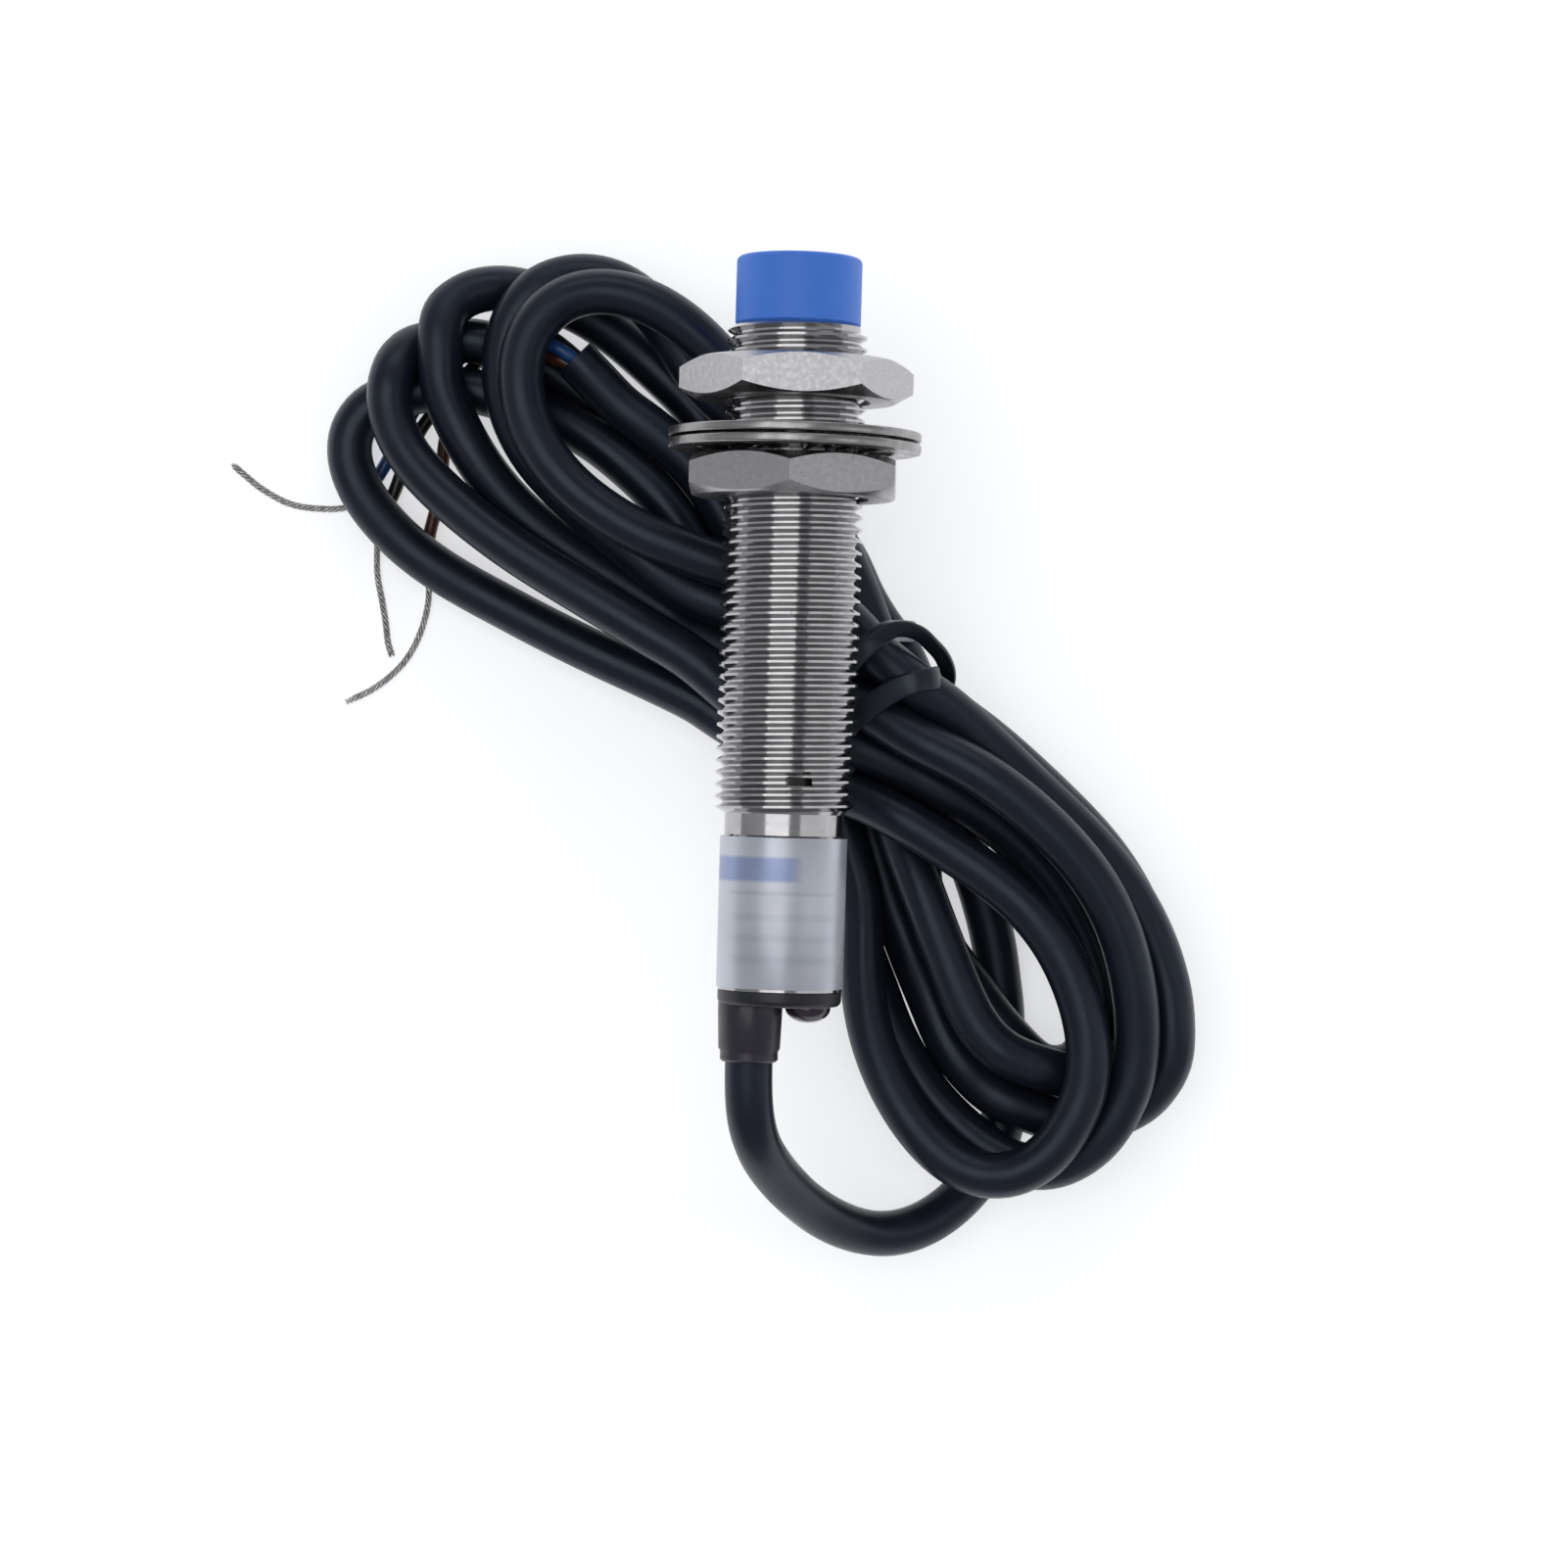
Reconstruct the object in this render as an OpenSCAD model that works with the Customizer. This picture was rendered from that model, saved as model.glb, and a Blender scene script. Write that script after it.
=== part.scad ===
// Cylindrical inductive proximity sensor, M12 x 1, with its lock nuts, tooth
// washers and a coiled three-core cable.
// Millimetres. The origin is the centre of the sensing face, on the sensor's axis.
// +Y points out of the sensing face, +X to the right and +Z up. The cable lies on
// a table that is axis_height below the origin.

/* [Sensing cap] */
// Length of cap that stands out in front of the barrel
cap_len = 5.8; // [4.8:0.1:8]
// How much smaller in radius the cap is than the thread, so that nuts pass over it
cap_step = 0.6; // [0.6:0.05:0.9]
// Thickness of the sensing face
face_t = 0.8; // [0.5:0.1:1]
// Length of the cap's skirt inside the barrel
skirt_len = 5; // [4:0.1:6]
// Wall of the cap's skirt
skirt_wall = 0.3; // [0.2:0.05:0.35]
// Rounding of the cap's front edge
cap_edge = 0.4; // [0.1:0.05:0.6]

/* [Barrel] */
// Major diameter of the barrel's thread over its crests
thread_d = 11.7; // [11.6:0.05:14.4]
// Pitch of the thread
thread_pitch = 1; // [0.8:0.05:1.25]
// Radial depth of the thread
thread_depth = 0.58; // [0.4:0.02:0.7]
// Length of the threaded stretch
thread_len = 40.7; // [33:0.1:50]
// Barrel wall under the roots of the thread
barrel_wall = 0.97; // [0.9:0.01:1.2]
// Wall of the plain neck behind the thread
neck_wall = 0.7; // [0.4:0.05:0.8]
// Length of the plain neck
neck_len = 1.9; // [1.5:0.1:2.5]
// Least step out from the barrel's bore to the wider bore of the tail
tail_step = 0.3; // [0.2:0.05:0.4]
// Length of the shoulder between the end of the neck and the wider bore
neck_shoulder = 1; // [0.8:0.1:1.4]
// Wall of the plain tail that carries the label
tail_wall = 0.6; // [0.5:0.05:0.8]
// Length of the plain tail
tail_len = 12.9; // [10.7:0.1:16]
// Thickness of the label foil
label_t = 0.1; // [0.05:0.01:0.15]
// Bare metal left behind the label
label_margin = 0.3; // [0.1:0.05:0.6]

/* [Lock nuts and washers] */
// Nut width across its flats
nut_af = 17; // [16:0.1:20.4]
// Nut thickness
nut_t = 3.4; // [2.8:0.1:4.1]
// Radial running clearance of the nuts on the thread
nut_clearance = 0.08; // [0.02:0.01:0.1]
// Washer outside diameter
washer_d = 21.2; // [19.6:0.1:22]
// Washer thickness
washer_t = 0.75; // [0.6:0.05:0.9]
// Width of the washer's plain rim
washer_rim = 2.3; // [1.5:0.1:2.4]
// Radial clearance of the washer teeth on the thread
washer_clearance = 0.2; // [0.1:0.05:0.4]
// Teeth on each washer
washer_teeth = 14; // [10:1:18]
// Width of one washer tooth
tooth_w = 1.4; // [1:0.1:1.6]
// Bare thread in front of the front nut
front_nut_setback = 2.8; // [2:0.1:4]
// Gap between the front nut and the front washer, where a panel goes
panel_gap = 2.5; // [2.1:0.1:3.5]
// Gap between the two washers
washer_gap = 0.2; // [0.1:0.05:0.4]
// Gap between the rear washer and the rear nut, filled by the washer's twisted teeth
tooth_gap = 0.5; // [0.4:0.05:0.8]
// Turn of the front nut about the axis, from one flat on top
front_nut_turn = 3; // [-30:1:30]
// Turn of the rear nut about the axis, from one corner on top
rear_nut_turn = -2; // [-30:1:30]

/* [Cable end] */
// How much smaller in radius the end cap is than the tail
end_cap_step = 0.02; // [0:0.01:0.1]
// Thickness of the end cap's visible disc
end_cap_t = 1.2; // [1:0.1:2]
// Length of the end cap's spigot inside the tail
spigot_len = 3; // [2.5:0.1:3.6]
// Least wall of the spigot beside the cable
spigot_web = 0.2; // [0.15:0.05:0.4]
// Wall of the strain relief at its root
boot_wall = 0.7; // [0.6:0.05:1]
// Wall of the strain relief at its tip
boot_tip_wall = 0.43; // [0.4:0.01:0.6]
// Length of the strain relief
boot_len = 4.8; // [4:0.1:8]
// Diameter of the lamp's lens
lens_d = 3.8; // [3.2:0.1:4.5]
// Height of the lens dome
lens_h = 1.4; // [1:0.1:1.6]
// Diameter of the lens's stem through the end cap
lens_stem_d = 2.4; // [1.8:0.1:2.8]
// Gap between the strain relief and the lens
outlet_gap = 0.2; // [0.1:0.05:0.4]

/* [Electronics] */
// Length of the ferrite pot core
core_len = 4.4; // [4:0.1:5]
// Outer wall of the pot core
core_wall = 0.8; // [0.6:0.05:0.9]
// Floor of the pot core
core_floor = 1.2; // [1:0.1:1.4]
// Thickness of the circuit board
board_t = 1; // [0.8:0.1:1.2]
// Height of the board's top face below the axis
board_drop = 0.6; // [0.5:0.05:0.7]
// Gap from the board's rear edge to the end cap's spigot, filled by the potting plug
potting_len = 3.1; // [2.5:0.1:3.5]
// Radial wall of the shield sleeve
sleeve_wall = 0.2; // [0.1:0.05:0.25]

/* [Cable] */
// Cable diameter over its jacket
cable_d = 4; // [3.8:0.1:4.8]
// Diameter of each insulated conductor
conductor_d = 1.2; // [1:0.05:1.25]
// Diameter of the tinned bare ends
bare_d = 0.45; // [0.3:0.05:0.6]
// Height of the sensor's axis above the table
axis_height = 24; // [23.5:0.5:28]
// Air between the nuts and washers and the top of the coil where they pass over it
coil_air = 1.8; // [1.5:0.1:2.4]
// Width of the two turns of the flat tie
tie_w = 3; // [2.5:0.1:4]
// Thickness of the flat tie
tie_t = 0.8; // [0.6:0.1:1]

/* [Hidden] */
$fn = 96;

// Fit between pieces that are assembled once and stay together
snug = 0.03;
// Air left around the small pieces inside the barrel
loose = 0.1;
// How far a cutter runs past the face that it cuts
over = 1;

// Radii that several pieces share
crest_r = thread_d / 2;
root_r = crest_r - thread_depth;
bore_r = root_r - barrel_wall;
neck_r = bore_r + neck_wall;
cap_r = crest_r - cap_step;
skirt_r = bore_r - snug;
cap_bore_r = skirt_r - skirt_wall;
sleeve_r = bore_r - snug;
cable_r = cable_d / 2;
boot_r = cable_r + boot_wall;
boot_tip_r = cable_r + boot_tip_wall;
lens_r = lens_d / 2;
outlet_x = (boot_r + lens_r + outlet_gap) / 2;
tail_bore_r = max(bore_r + tail_step, outlet_x + cable_r + spigot_web);
tail_r = tail_bore_r + tail_wall;
end_cap_r = tail_r - end_cap_step;
spigot_r = tail_bore_r - snug;
washer_r = washer_d / 2;
washer_bore_r = crest_r + washer_clearance;
rim_bore_r = washer_r - washer_rim;
nut_bore_r = crest_r + nut_clearance;

// Stations along the axis, from the sensing face backwards
barrel_y = -cap_len;
skirt_end_y = barrel_y - skirt_len;
thread_end_y = barrel_y - thread_len;
neck_end_y = thread_end_y - neck_len;
tail_end_y = neck_end_y - tail_len;
disc_end_y = tail_end_y - end_cap_t;
boot_end_y = disc_end_y - boot_len;
spigot_y = tail_end_y + spigot_len;
tail_bore_y = neck_end_y - neck_shoulder;
front_nut_y = barrel_y - front_nut_setback;
front_washer_y = front_nut_y - nut_t - panel_gap;
rear_washer_y = front_washer_y - washer_t - washer_gap;
rear_nut_y = rear_washer_y - washer_t - tooth_gap;

// Thread form: flat crests and roots joined by straight flanks
thread_flat = 0.2 * thread_pitch;
thread_flank = 0.3 * thread_pitch;
thread_lead_in = 0.5;
thread_chamfer = 0.3;
thread_turns = floor((thread_len - thread_lead_in) / thread_pitch);

// Nut form: the chamfer leaves a round face a little inside the flats
nut_face_r = 0.96 * nut_af / 2;
nut_corner_r = nut_af / sqrt(3);
nut_chamfer = (nut_corner_r - nut_face_r) * tan(30);
nut_bore_chamfer = 0.45;

// Pot core, bobbin and winding
core_r = cap_bore_r - loose;
core_y = -face_t - loose;
core_post_share = 0.42;
core_post_r = core_post_share * core_r;
window_r = core_r - core_wall;
window_len = core_len - core_floor;
bobbin_r = window_r - loose;
bobbin_bore_r = core_post_r + loose / 2;
bobbin_wall = 0.3;
bobbin_hub_r = bobbin_bore_r + bobbin_wall;
bobbin_y = core_y - loose;
bobbin_len = window_len - 2 * loose;
lead_d = 0.25;
lead_x = (core_post_r + window_r) / 2;
lead_on_board = 1.2;

// Circuit board and what stands on it. Places are [x, distance behind the board's front edge].
board_z = -board_drop;
board_y = core_y - core_len - loose;
board_end_y = spigot_y + potting_len;
board_len = board_y - board_end_y;
board_w = 2 * sqrt(pow(cap_bore_r - loose, 2) - pow(board_drop + board_t, 2));
// The board is shared out in equal stations, after a stretch at its rear for the soldered joints.
joint_zone = 6.5;
station = (board_len - joint_zone) / 9;
function station_y(i) = (i + 0.5) * station;
ic_size = [4, 5, 1.5];
ic_place = [0, station_y(2)];
ic_pin_pitch = 1.27;
ic_pin = [0.9, 0.4, 0.2];
transistor_size = [2.9, 1.3, 1.1];
transistor_place = [0, station_y(5)];
diode_size = [1.8, 2.7, 1.1];
diode_place = [0, station_y(6)];
chip_size = [0.8, 1.6, 0.5];
chip_rows = [for (i = [0, 1, 3, 4, 7, 8]) station_y(i)];
chip_x = 1.6;
lamp_chip_size = [1.6, 0.8, 0.6];
sleeve_y = skirt_end_y - loose;
sleeve_end_y = tail_bore_y + loose;

// Conductors inside: two side by side and one on top of them. Places are [x, z, length].
conductor_gap = 0.2;
conductor_step = (conductor_d + conductor_gap) / 2;
conductor_places = [
    [-outlet_x - conductor_step, 0, potting_len + 2],
    [-outlet_x + conductor_step, 0, potting_len + 2],
    [-outlet_x, sqrt(3) * conductor_step, potting_len + 4]];
joint_d = 0.8;

// A milled slot through the wall of the barrel, near the rear end of the thread
slot_place = [1.2, thread_end_y + 2.5];
slot_size = [2, 0.7];

// Coiled cable. Corners of its blocks are [x, y, radius]; the two lobes stand higher than the waist.
table_z = -axis_height;
waist_h = axis_height - max(washer_r, nut_corner_r) - coil_air;
lobe_h = 15;
left_lobe = [[-35.4, -14, 5.5], [-27.5, -5.6, 5.8], [-18.6, -5.4, 6.2], [-17, -28.6, 5.4],
    [-29, -23.2, 5]];
waist = [[-9, -6.4, 4.4], [-13, -30.5, 6], [-8, -36, 4.5], [9, -28, 5], [13, -40, 6], [6, -46, 5]];
right_lobe = [[14, -47, 6], [11.5, -60, 6], [16.5, -72.2, 7.4], [26.5, -71.8, 7.8],
    [29.6, -62.5, 6.9], [23.5, -50.5, 6]];
// Flat tie around the waist: its place, the way that the bundle runs, and its loop's two ends
tie_place = [5, -38.5];
tie_heading = -40;
tie_ends = [-9.5, 9.5];

// Route of the cable from the strain relief down to the table and under the coil
lead_route = [[-outlet_x, boot_end_y, 0], [-outlet_x, boot_end_y - 2.6, 0],
    [-2.2, -72, -0.5], [-1.5, -74.3, -2.3], [-0.2, -76.6, -5.4], [1.7, -79, -9.6],
    [4.3, -81.2, -14], [7.4, -82.7, -17.9], [10.8, -83.2, -20.7], [14, -82.1, -22],
    [16.6, -80, -22], [18.9, -77, -22]];
// Routes of the three conductors, from the end of the jacket to where they are stripped
brown_route = [[-20.4, -7.6, -16.5], [-22.4, -7, -17.2], [-24.6, -7.3, -19], [-26.6, -8, -21.4],
    [-28.8, -9.2, -23], [-30.4, -11.4, -23.4], [-31.2, -14.2, -23.4], [-31.4, -17.2, -23.4],
    [-31.8, -20.2, -23.4], [-32.4, -23, -23.4], [-32.4, -25.6, -23.4]];
blue_route = [[-20.4, -6.8, -15.6], [-22.6, -5.8, -16.2], [-25, -5.6, -18.2], [-27.4, -6, -20.8],
    [-29.8, -6.8, -22.8], [-32, -8.6, -23.4], [-33.8, -11.2, -23.4], [-35.2, -14, -23.4],
    [-36.6, -16.8, -23.4], [-38.2, -19.4, -23.4]];
black_route = [[-20.4, -6.2, -16.8], [-22.4, -5, -17.6], [-24.8, -4.8, -19.6], [-27, -5.6, -22],
    [-29.1, -7.9, -23.3], [-31.2, -10.4, -23.4], [-33.2, -13, -23.4], [-34.6, -16, -23.4],
    [-35.6, -19, -23.4], [-36.8, -21.6, -23.4], [-37.2, -24, -23.4]];
// Routes of the tinned ends, which go on from there
brown_end = [[-32.4, -25.6, -23.4], [-32.3, -28.6, -23.6], [-33, -31.6, -23.7],
    [-34.4, -34.2, -23.7], [-36.8, -36.4, -23.7], [-39.4, -37.8, -23.7]];
blue_end = [[-38.2, -19.4, -23.4], [-39.8, -20.4, -23.5], [-42.4, -20.6, -23.6], [-45, -20.2, -23.7], [-47.4, -19, -23.7],
    [-49, -17.8, -23.7], [-50.2, -16.8, -23.7]];
black_end = [[-37.2, -24, -23.4], [-36.9, -26.4, -23.6], [-36.4, -28.8, -23.7],
    [-36, -31, -23.7], [-35.8, -32.4, -23.7], [-35.4, -33.6, -23.7]];

// ---------------------------------------------------------------- helpers

// A solid of revolution about an axis along Y. Points of the profile are [radius, y].
module turned(profile, x = 0) {
    translate([x, 0, 0]) rotate([-90, 0, 0]) rotate_extrude() polygon(profile);
}

// A round rod along Y, from y = from backwards
module rod(d, from, len, x = 0, z = 0) {
    translate([x, from, z]) rotate([90, 0, 0]) cylinder(d = d, h = len);
}

// A tube along Y, from y = from backwards
module tube(d, bore, from, len) {
    difference() {
        rod(d, from, len);
        rod(bore, from + over, len + 2 * over);
    }
}

// A box that stands on the circuit board, centred on its place
module on_board(size, place) {
    translate([place[0] - size[0] / 2, board_y - place[1] - size[1] / 2, board_z])
        cube(size);
}

// Points of a quarter circle from angle a to angle b about a centre
function arc(centre, r, a, b, steps = 4) =
    [for (i = [0:steps]) let (t = a + (b - a) * i / steps) centre + r * [cos(t), sin(t)]];

function unit(v) = v / norm(v);

// Direction of a route at its point i
function heading(route, i) =
    unit(route[min(i + 1, len(route) - 1)] - route[max(i - 1, 0)]);

// A ring of points square to a route at its point i
function ring(route, i, r, sides) =
    let (t = heading(route, i), u = unit(cross(t, [0, 0, 1])), v = cross(u, t))
    [for (k = [0:sides - 1]) route[i] + r * (cos(k * 360 / sides) * u + sin(k * 360 / sides) * v)];

// A cord swept along its route, closed at both ends
module cord(route, d, sides = 8) {
    n = len(route);
    points = [for (i = [0:n - 1]) each ring(route, i, d / 2, sides)];
    walls = [for (i = [0:n - 2], k = [0:sides - 1])
        let (a = i * sides + k, b = i * sides + (k + 1) % sides)
        each [[a, b, b + sides], [a, b + sides, a + sides]]];
    first_end = [for (k = [sides - 1:-1:0]) k];
    last_end = [for (k = [0:sides - 1]) (n - 1) * sides + k];
    polyhedron(points, concat(walls, [first_end, last_end]), convexity = 6);
}

// A block of coiled cable standing on the table
module cable_block(corners, height) {
    translate([0, 0, table_z]) linear_extrude(height)
        hull() for (c = corners) translate([c[0], c[1]]) circle(r = c[2], $fn = 32);
}

// ---------------------------------------------------------------- sensing head

module sensing_cap() {
    color("royalblue") difference() {
        union() {
            turned(concat([[0, 0]], arc([cap_r - cap_edge, -cap_edge], cap_edge, 90, 0),
                [[cap_r, barrel_y], [0, barrel_y]]));
            rod(2 * skirt_r, barrel_y + over, skirt_len + over);
        }
        rod(2 * cap_bore_r, -face_t, cap_len + skirt_len + over);
    }
}

module ferrite_core() {
    color("dimgray") difference() {
        rod(2 * core_r, core_y, core_len);
        difference() {
            rod(2 * window_r, core_y + over, window_len + over);
            rod(2 * core_post_r, core_y + 2 * over, window_len + 3 * over);
        }
        for (side = [-1, 1])
            rod(lead_d + 2 * loose, core_y, core_len + over, side * lead_x, board_z + lead_d);
    }
}

module coil_bobbin() {
    rear = bobbin_y - bobbin_len;
    color("ivory") turned([[bobbin_bore_r, bobbin_y], [bobbin_r, bobbin_y],
        [bobbin_r, bobbin_y - bobbin_wall], [bobbin_hub_r, bobbin_y - bobbin_wall],
        [bobbin_hub_r, rear + bobbin_wall], [bobbin_r, rear + bobbin_wall],
        [bobbin_r, rear], [bobbin_bore_r, rear]]);
}

module sensing_coil() {
    color("peru") tube(2 * (bobbin_r - loose), 2 * (bobbin_hub_r + snug),
        bobbin_y - bobbin_wall - snug, bobbin_len - 2 * bobbin_wall - 2 * snug);
}

module coil_leads() {
    start = bobbin_y - bobbin_len - snug;
    color("peru") for (side = [-1, 1])
        rod(lead_d, start, start - board_y + lead_on_board, side * lead_x, board_z + lead_d);
}

// ---------------------------------------------------------------- electronics

module circuit_board() {
    color("darkgreen") translate([-board_w / 2, board_end_y, board_z - board_t])
        cube([board_w, board_len, board_t]);
}

module oscillator_ic() {
    reach = ic_size[0] / 2 + ic_pin[0] / 2;
    color("black") on_board(ic_size, ic_place);
    color("silver") for (side = [-1, 1], pin = [-1.5:1:1.5])
        on_board(ic_pin, ic_place + [side * reach, pin * ic_pin_pitch]);
}

module output_transistor() {
    color("black") on_board(transistor_size, transistor_place);
}

module protection_diode() {
    color("black") on_board(diode_size, diode_place);
}

module chip_components() {
    color("tan") for (row = chip_rows, side = [-1, 1])
        on_board(chip_size, [side * chip_x, row]);
}

module indicator_led() {
    color("gold") on_board(lamp_chip_size, [outlet_x, board_len - lamp_chip_size[1]]);
}

module solder_joints() {
    color("silver") for (c = conductor_places)
        translate([c[0], spigot_y + c[2] + joint_d / 2 + snug, board_z])
            cylinder(d = joint_d, h = c[1] - board_z);
}

module inner_conductors() {
    colors = ["saddlebrown", "dodgerblue", "black"];
    for (i = [0:len(conductor_places) - 1]) let (c = conductor_places[i])
        color(colors[i]) rod(conductor_d, spigot_y + c[2], c[2], c[0], c[1]);
}

module shield_sleeve() {
    color("orange") tube(2 * sleeve_r, 2 * (sleeve_r - sleeve_wall), sleeve_y,
        sleeve_y - sleeve_end_y);
}

module potting_plug() {
    color("darkslategray") difference() {
        rod(2 * spigot_r, board_end_y - snug, potting_len - 2 * snug);
        for (c = conductor_places)
            rod(conductor_d + 2 * snug, board_end_y + over, potting_len + 2 * over, c[0], c[1]);
    }
}

// ---------------------------------------------------------------- barrel

// Outline of the thread, from the front end backwards
thread_outline = concat(
    [[crest_r - thread_chamfer, barrel_y], [crest_r, barrel_y - thread_chamfer]],
    [for (i = [0:thread_turns - 1]) let (y = barrel_y - thread_lead_in - i * thread_pitch)
        each [[crest_r, y], [root_r, y - thread_flank],
            [root_r, y - thread_flank - thread_flat],
            [crest_r, y - 2 * thread_flank - thread_flat]]],
    [[crest_r, thread_end_y]]);

module threaded_barrel() {
    color("silver") difference() {
        turned(concat([[bore_r, barrel_y]], thread_outline,
            [[neck_r, thread_end_y], [neck_r, neck_end_y], [tail_r, neck_end_y],
                [tail_r, tail_end_y], [tail_bore_r, tail_end_y], [tail_bore_r, tail_bore_y],
                [bore_r, tail_bore_y]]));
        translate([slot_place[0] - slot_size[0] / 2, slot_place[1] - slot_size[1] / 2, sleeve_r])
            cube([slot_size[0], slot_size[1], crest_r]);
    }
}

module rating_label() {
    bore = tail_r + snug;
    color("lightsteelblue") tube(2 * (bore + label_t), 2 * bore, neck_end_y,
        tail_len - label_margin);
}

// ---------------------------------------------------------------- cable end

module end_cap() {
    color("black") difference() {
        union() {
            rod(2 * end_cap_r, tail_end_y, end_cap_t);
            rod(2 * spigot_r, spigot_y, spigot_len + end_cap_t / 2);
        }
        rod(cable_d + 2 * snug, spigot_y + over, spigot_len + end_cap_t + 2 * over, -outlet_x);
        rod(lens_stem_d + 2 * snug, spigot_y + over, spigot_len + end_cap_t + 2 * over, outlet_x);
    }
}

module led_lens() {
    dome_r = (lens_r * lens_r + lens_h * lens_h) / (2 * lens_h);
    color("indigo") union() {
        rod(lens_stem_d, spigot_y, spigot_len + end_cap_t + lens_h / 2, outlet_x);
        intersection() {
            translate([outlet_x, disc_end_y - lens_h + dome_r, 0]) sphere(r = dome_r);
            rod(lens_d, disc_end_y, lens_h + over, outlet_x);
        }
    }
}

module strain_relief() {
    rim = boot_tip_wall * 0.6;
    bore = cable_r + snug;
    color("#2c1c30") turned(concat([[bore, disc_end_y], [boot_r, disc_end_y]],
        arc([boot_tip_r - rim, boot_end_y + rim], rim, 0, -90), [[bore, boot_end_y]]), -outlet_x);
}

module cable_root() {
    color("#17181c") rod(cable_d, spigot_y, spigot_y - boot_end_y, -outlet_x);
}

// ---------------------------------------------------------------- nuts and washers

module lock_nut(y, turn) {
    color("silver") rotate([0, turn, 0]) difference() {
        intersection() {
            translate([0, y, 0]) rotate([90, 0, 0]) cylinder(r = nut_corner_r, h = nut_t, $fn = 6);
            turned([[0, y], [nut_face_r, y], [nut_corner_r + over, y - nut_chamfer - over * tan(30)],
                [nut_corner_r + over, y - nut_t + nut_chamfer + over * tan(30)],
                [nut_face_r, y - nut_t], [0, y - nut_t]]);
        }
        rod(2 * nut_bore_r, y + over, nut_t + 2 * over);
        for (end = [0, 1]) mirror_y(y - nut_t / 2, end)
            turned([[0, y + over], [nut_bore_r + nut_bore_chamfer + over, y + over],
                [nut_bore_r, y - nut_bore_chamfer], [0, y - nut_bore_chamfer]]);
    }
}

// The children, or their reflection in the plane y = middle
module mirror_y(middle, on) {
    translate([0, on * 2 * middle, 0]) mirror([0, on, 0]) children();
}

module tooth_washer(y) {
    reach = rim_bore_r - washer_bore_r;
    color("lightgray") difference() {
        union() {
            tube(washer_d, 2 * rim_bore_r, y, washer_t);
            for (i = [0:washer_teeth - 1]) rotate([0, i * 360 / washer_teeth, 0])
                translate([washer_bore_r - over, y - washer_t, -tooth_w / 2])
                    cube([reach + over + washer_rim / 2, washer_t, tooth_w]);
        }
        rod(2 * washer_bore_r, y + over, washer_t + 2 * over);
    }
}

module front_nut() {
    lock_nut(front_nut_y, front_nut_turn);
}

module front_lock_washer() {
    tooth_washer(front_washer_y);
}

module rear_lock_washer() {
    tooth_washer(rear_washer_y);
}

module rear_nut() {
    lock_nut(rear_nut_y, 30 + rear_nut_turn);
}

// ---------------------------------------------------------------- cable on the table

module cable_lead() {
    color("#17181c") cord(lead_route, cable_d, 10);
}

module cable_hank_left() {
    color("#17181c") cable_block(left_lobe, lobe_h);
}

module cable_hank_waist() {
    color("#1c1d22") cable_block(waist, waist_h);
}

module cable_hank_right() {
    color("#17181c") cable_block(right_lobe, lobe_h);
}

module cable_tie() {
    corner = 3;
    top = waist_h + tie_t;
    color("#101114") translate([tie_place[0], tie_place[1], table_z]) rotate([0, 0, tie_heading])
        translate([-tie_w / 2, 0, 0]) rotate([90, 0, 90]) linear_extrude(tie_w) difference() {
            hull() for (x = tie_ends, z = [corner, top - corner])
                translate([x, z]) circle(r = corner, $fn = 32);
            hull() for (x = tie_ends, z = [corner, top - corner])
                translate([x, z]) circle(r = corner - tie_t, $fn = 32);
        }
}

module wire_brown() {
    color("saddlebrown") cord(brown_route, conductor_d);
}

module wire_blue() {
    color("dodgerblue") cord(blue_route, conductor_d);
}

module wire_black() {
    color("black") cord(black_route, conductor_d);
}

module bare_wire_ends() {
    color("silver") for (route = [brown_end, blue_end, black_end]) cord(route, bare_d);
}

// ---------------------------------------------------------------- build

sensing_cap();
ferrite_core();
coil_bobbin();
sensing_coil();
coil_leads();
circuit_board();
oscillator_ic();
output_transistor();
protection_diode();
chip_components();
indicator_led();
solder_joints();
inner_conductors();
shield_sleeve();
potting_plug();
threaded_barrel();
rating_label();
end_cap();
led_lens();
strain_relief();
cable_root();
front_nut();
front_lock_washer();
rear_lock_washer();
rear_nut();
cable_lead();
cable_hank_left();
cable_hank_waist();
cable_hank_right();
cable_tie();
wire_brown();
wire_blue();
wire_black();
bare_wire_ends();
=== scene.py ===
import logging
import math
from collections.abc import Callable
from dataclasses import dataclass, field
from enum import Enum

import bmesh
import bpy
import numpy as np
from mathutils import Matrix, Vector


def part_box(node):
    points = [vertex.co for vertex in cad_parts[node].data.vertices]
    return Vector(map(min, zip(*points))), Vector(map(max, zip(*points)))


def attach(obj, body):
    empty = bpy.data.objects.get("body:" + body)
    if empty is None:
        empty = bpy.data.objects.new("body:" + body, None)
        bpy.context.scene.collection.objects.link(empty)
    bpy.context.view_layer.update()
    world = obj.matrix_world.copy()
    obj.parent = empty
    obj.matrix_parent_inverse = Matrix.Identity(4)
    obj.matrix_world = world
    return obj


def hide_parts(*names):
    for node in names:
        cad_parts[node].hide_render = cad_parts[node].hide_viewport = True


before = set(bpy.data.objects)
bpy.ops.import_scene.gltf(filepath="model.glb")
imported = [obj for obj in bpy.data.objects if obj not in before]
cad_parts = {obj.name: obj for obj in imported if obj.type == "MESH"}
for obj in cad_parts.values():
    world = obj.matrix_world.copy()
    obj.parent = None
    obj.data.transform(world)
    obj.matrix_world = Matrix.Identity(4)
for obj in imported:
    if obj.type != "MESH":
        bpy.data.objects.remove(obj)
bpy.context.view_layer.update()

logging.basicConfig(level=logging.INFO, format="%(levelname)s %(message)s")
log = logging.getLogger("proximity_sensor")

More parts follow.
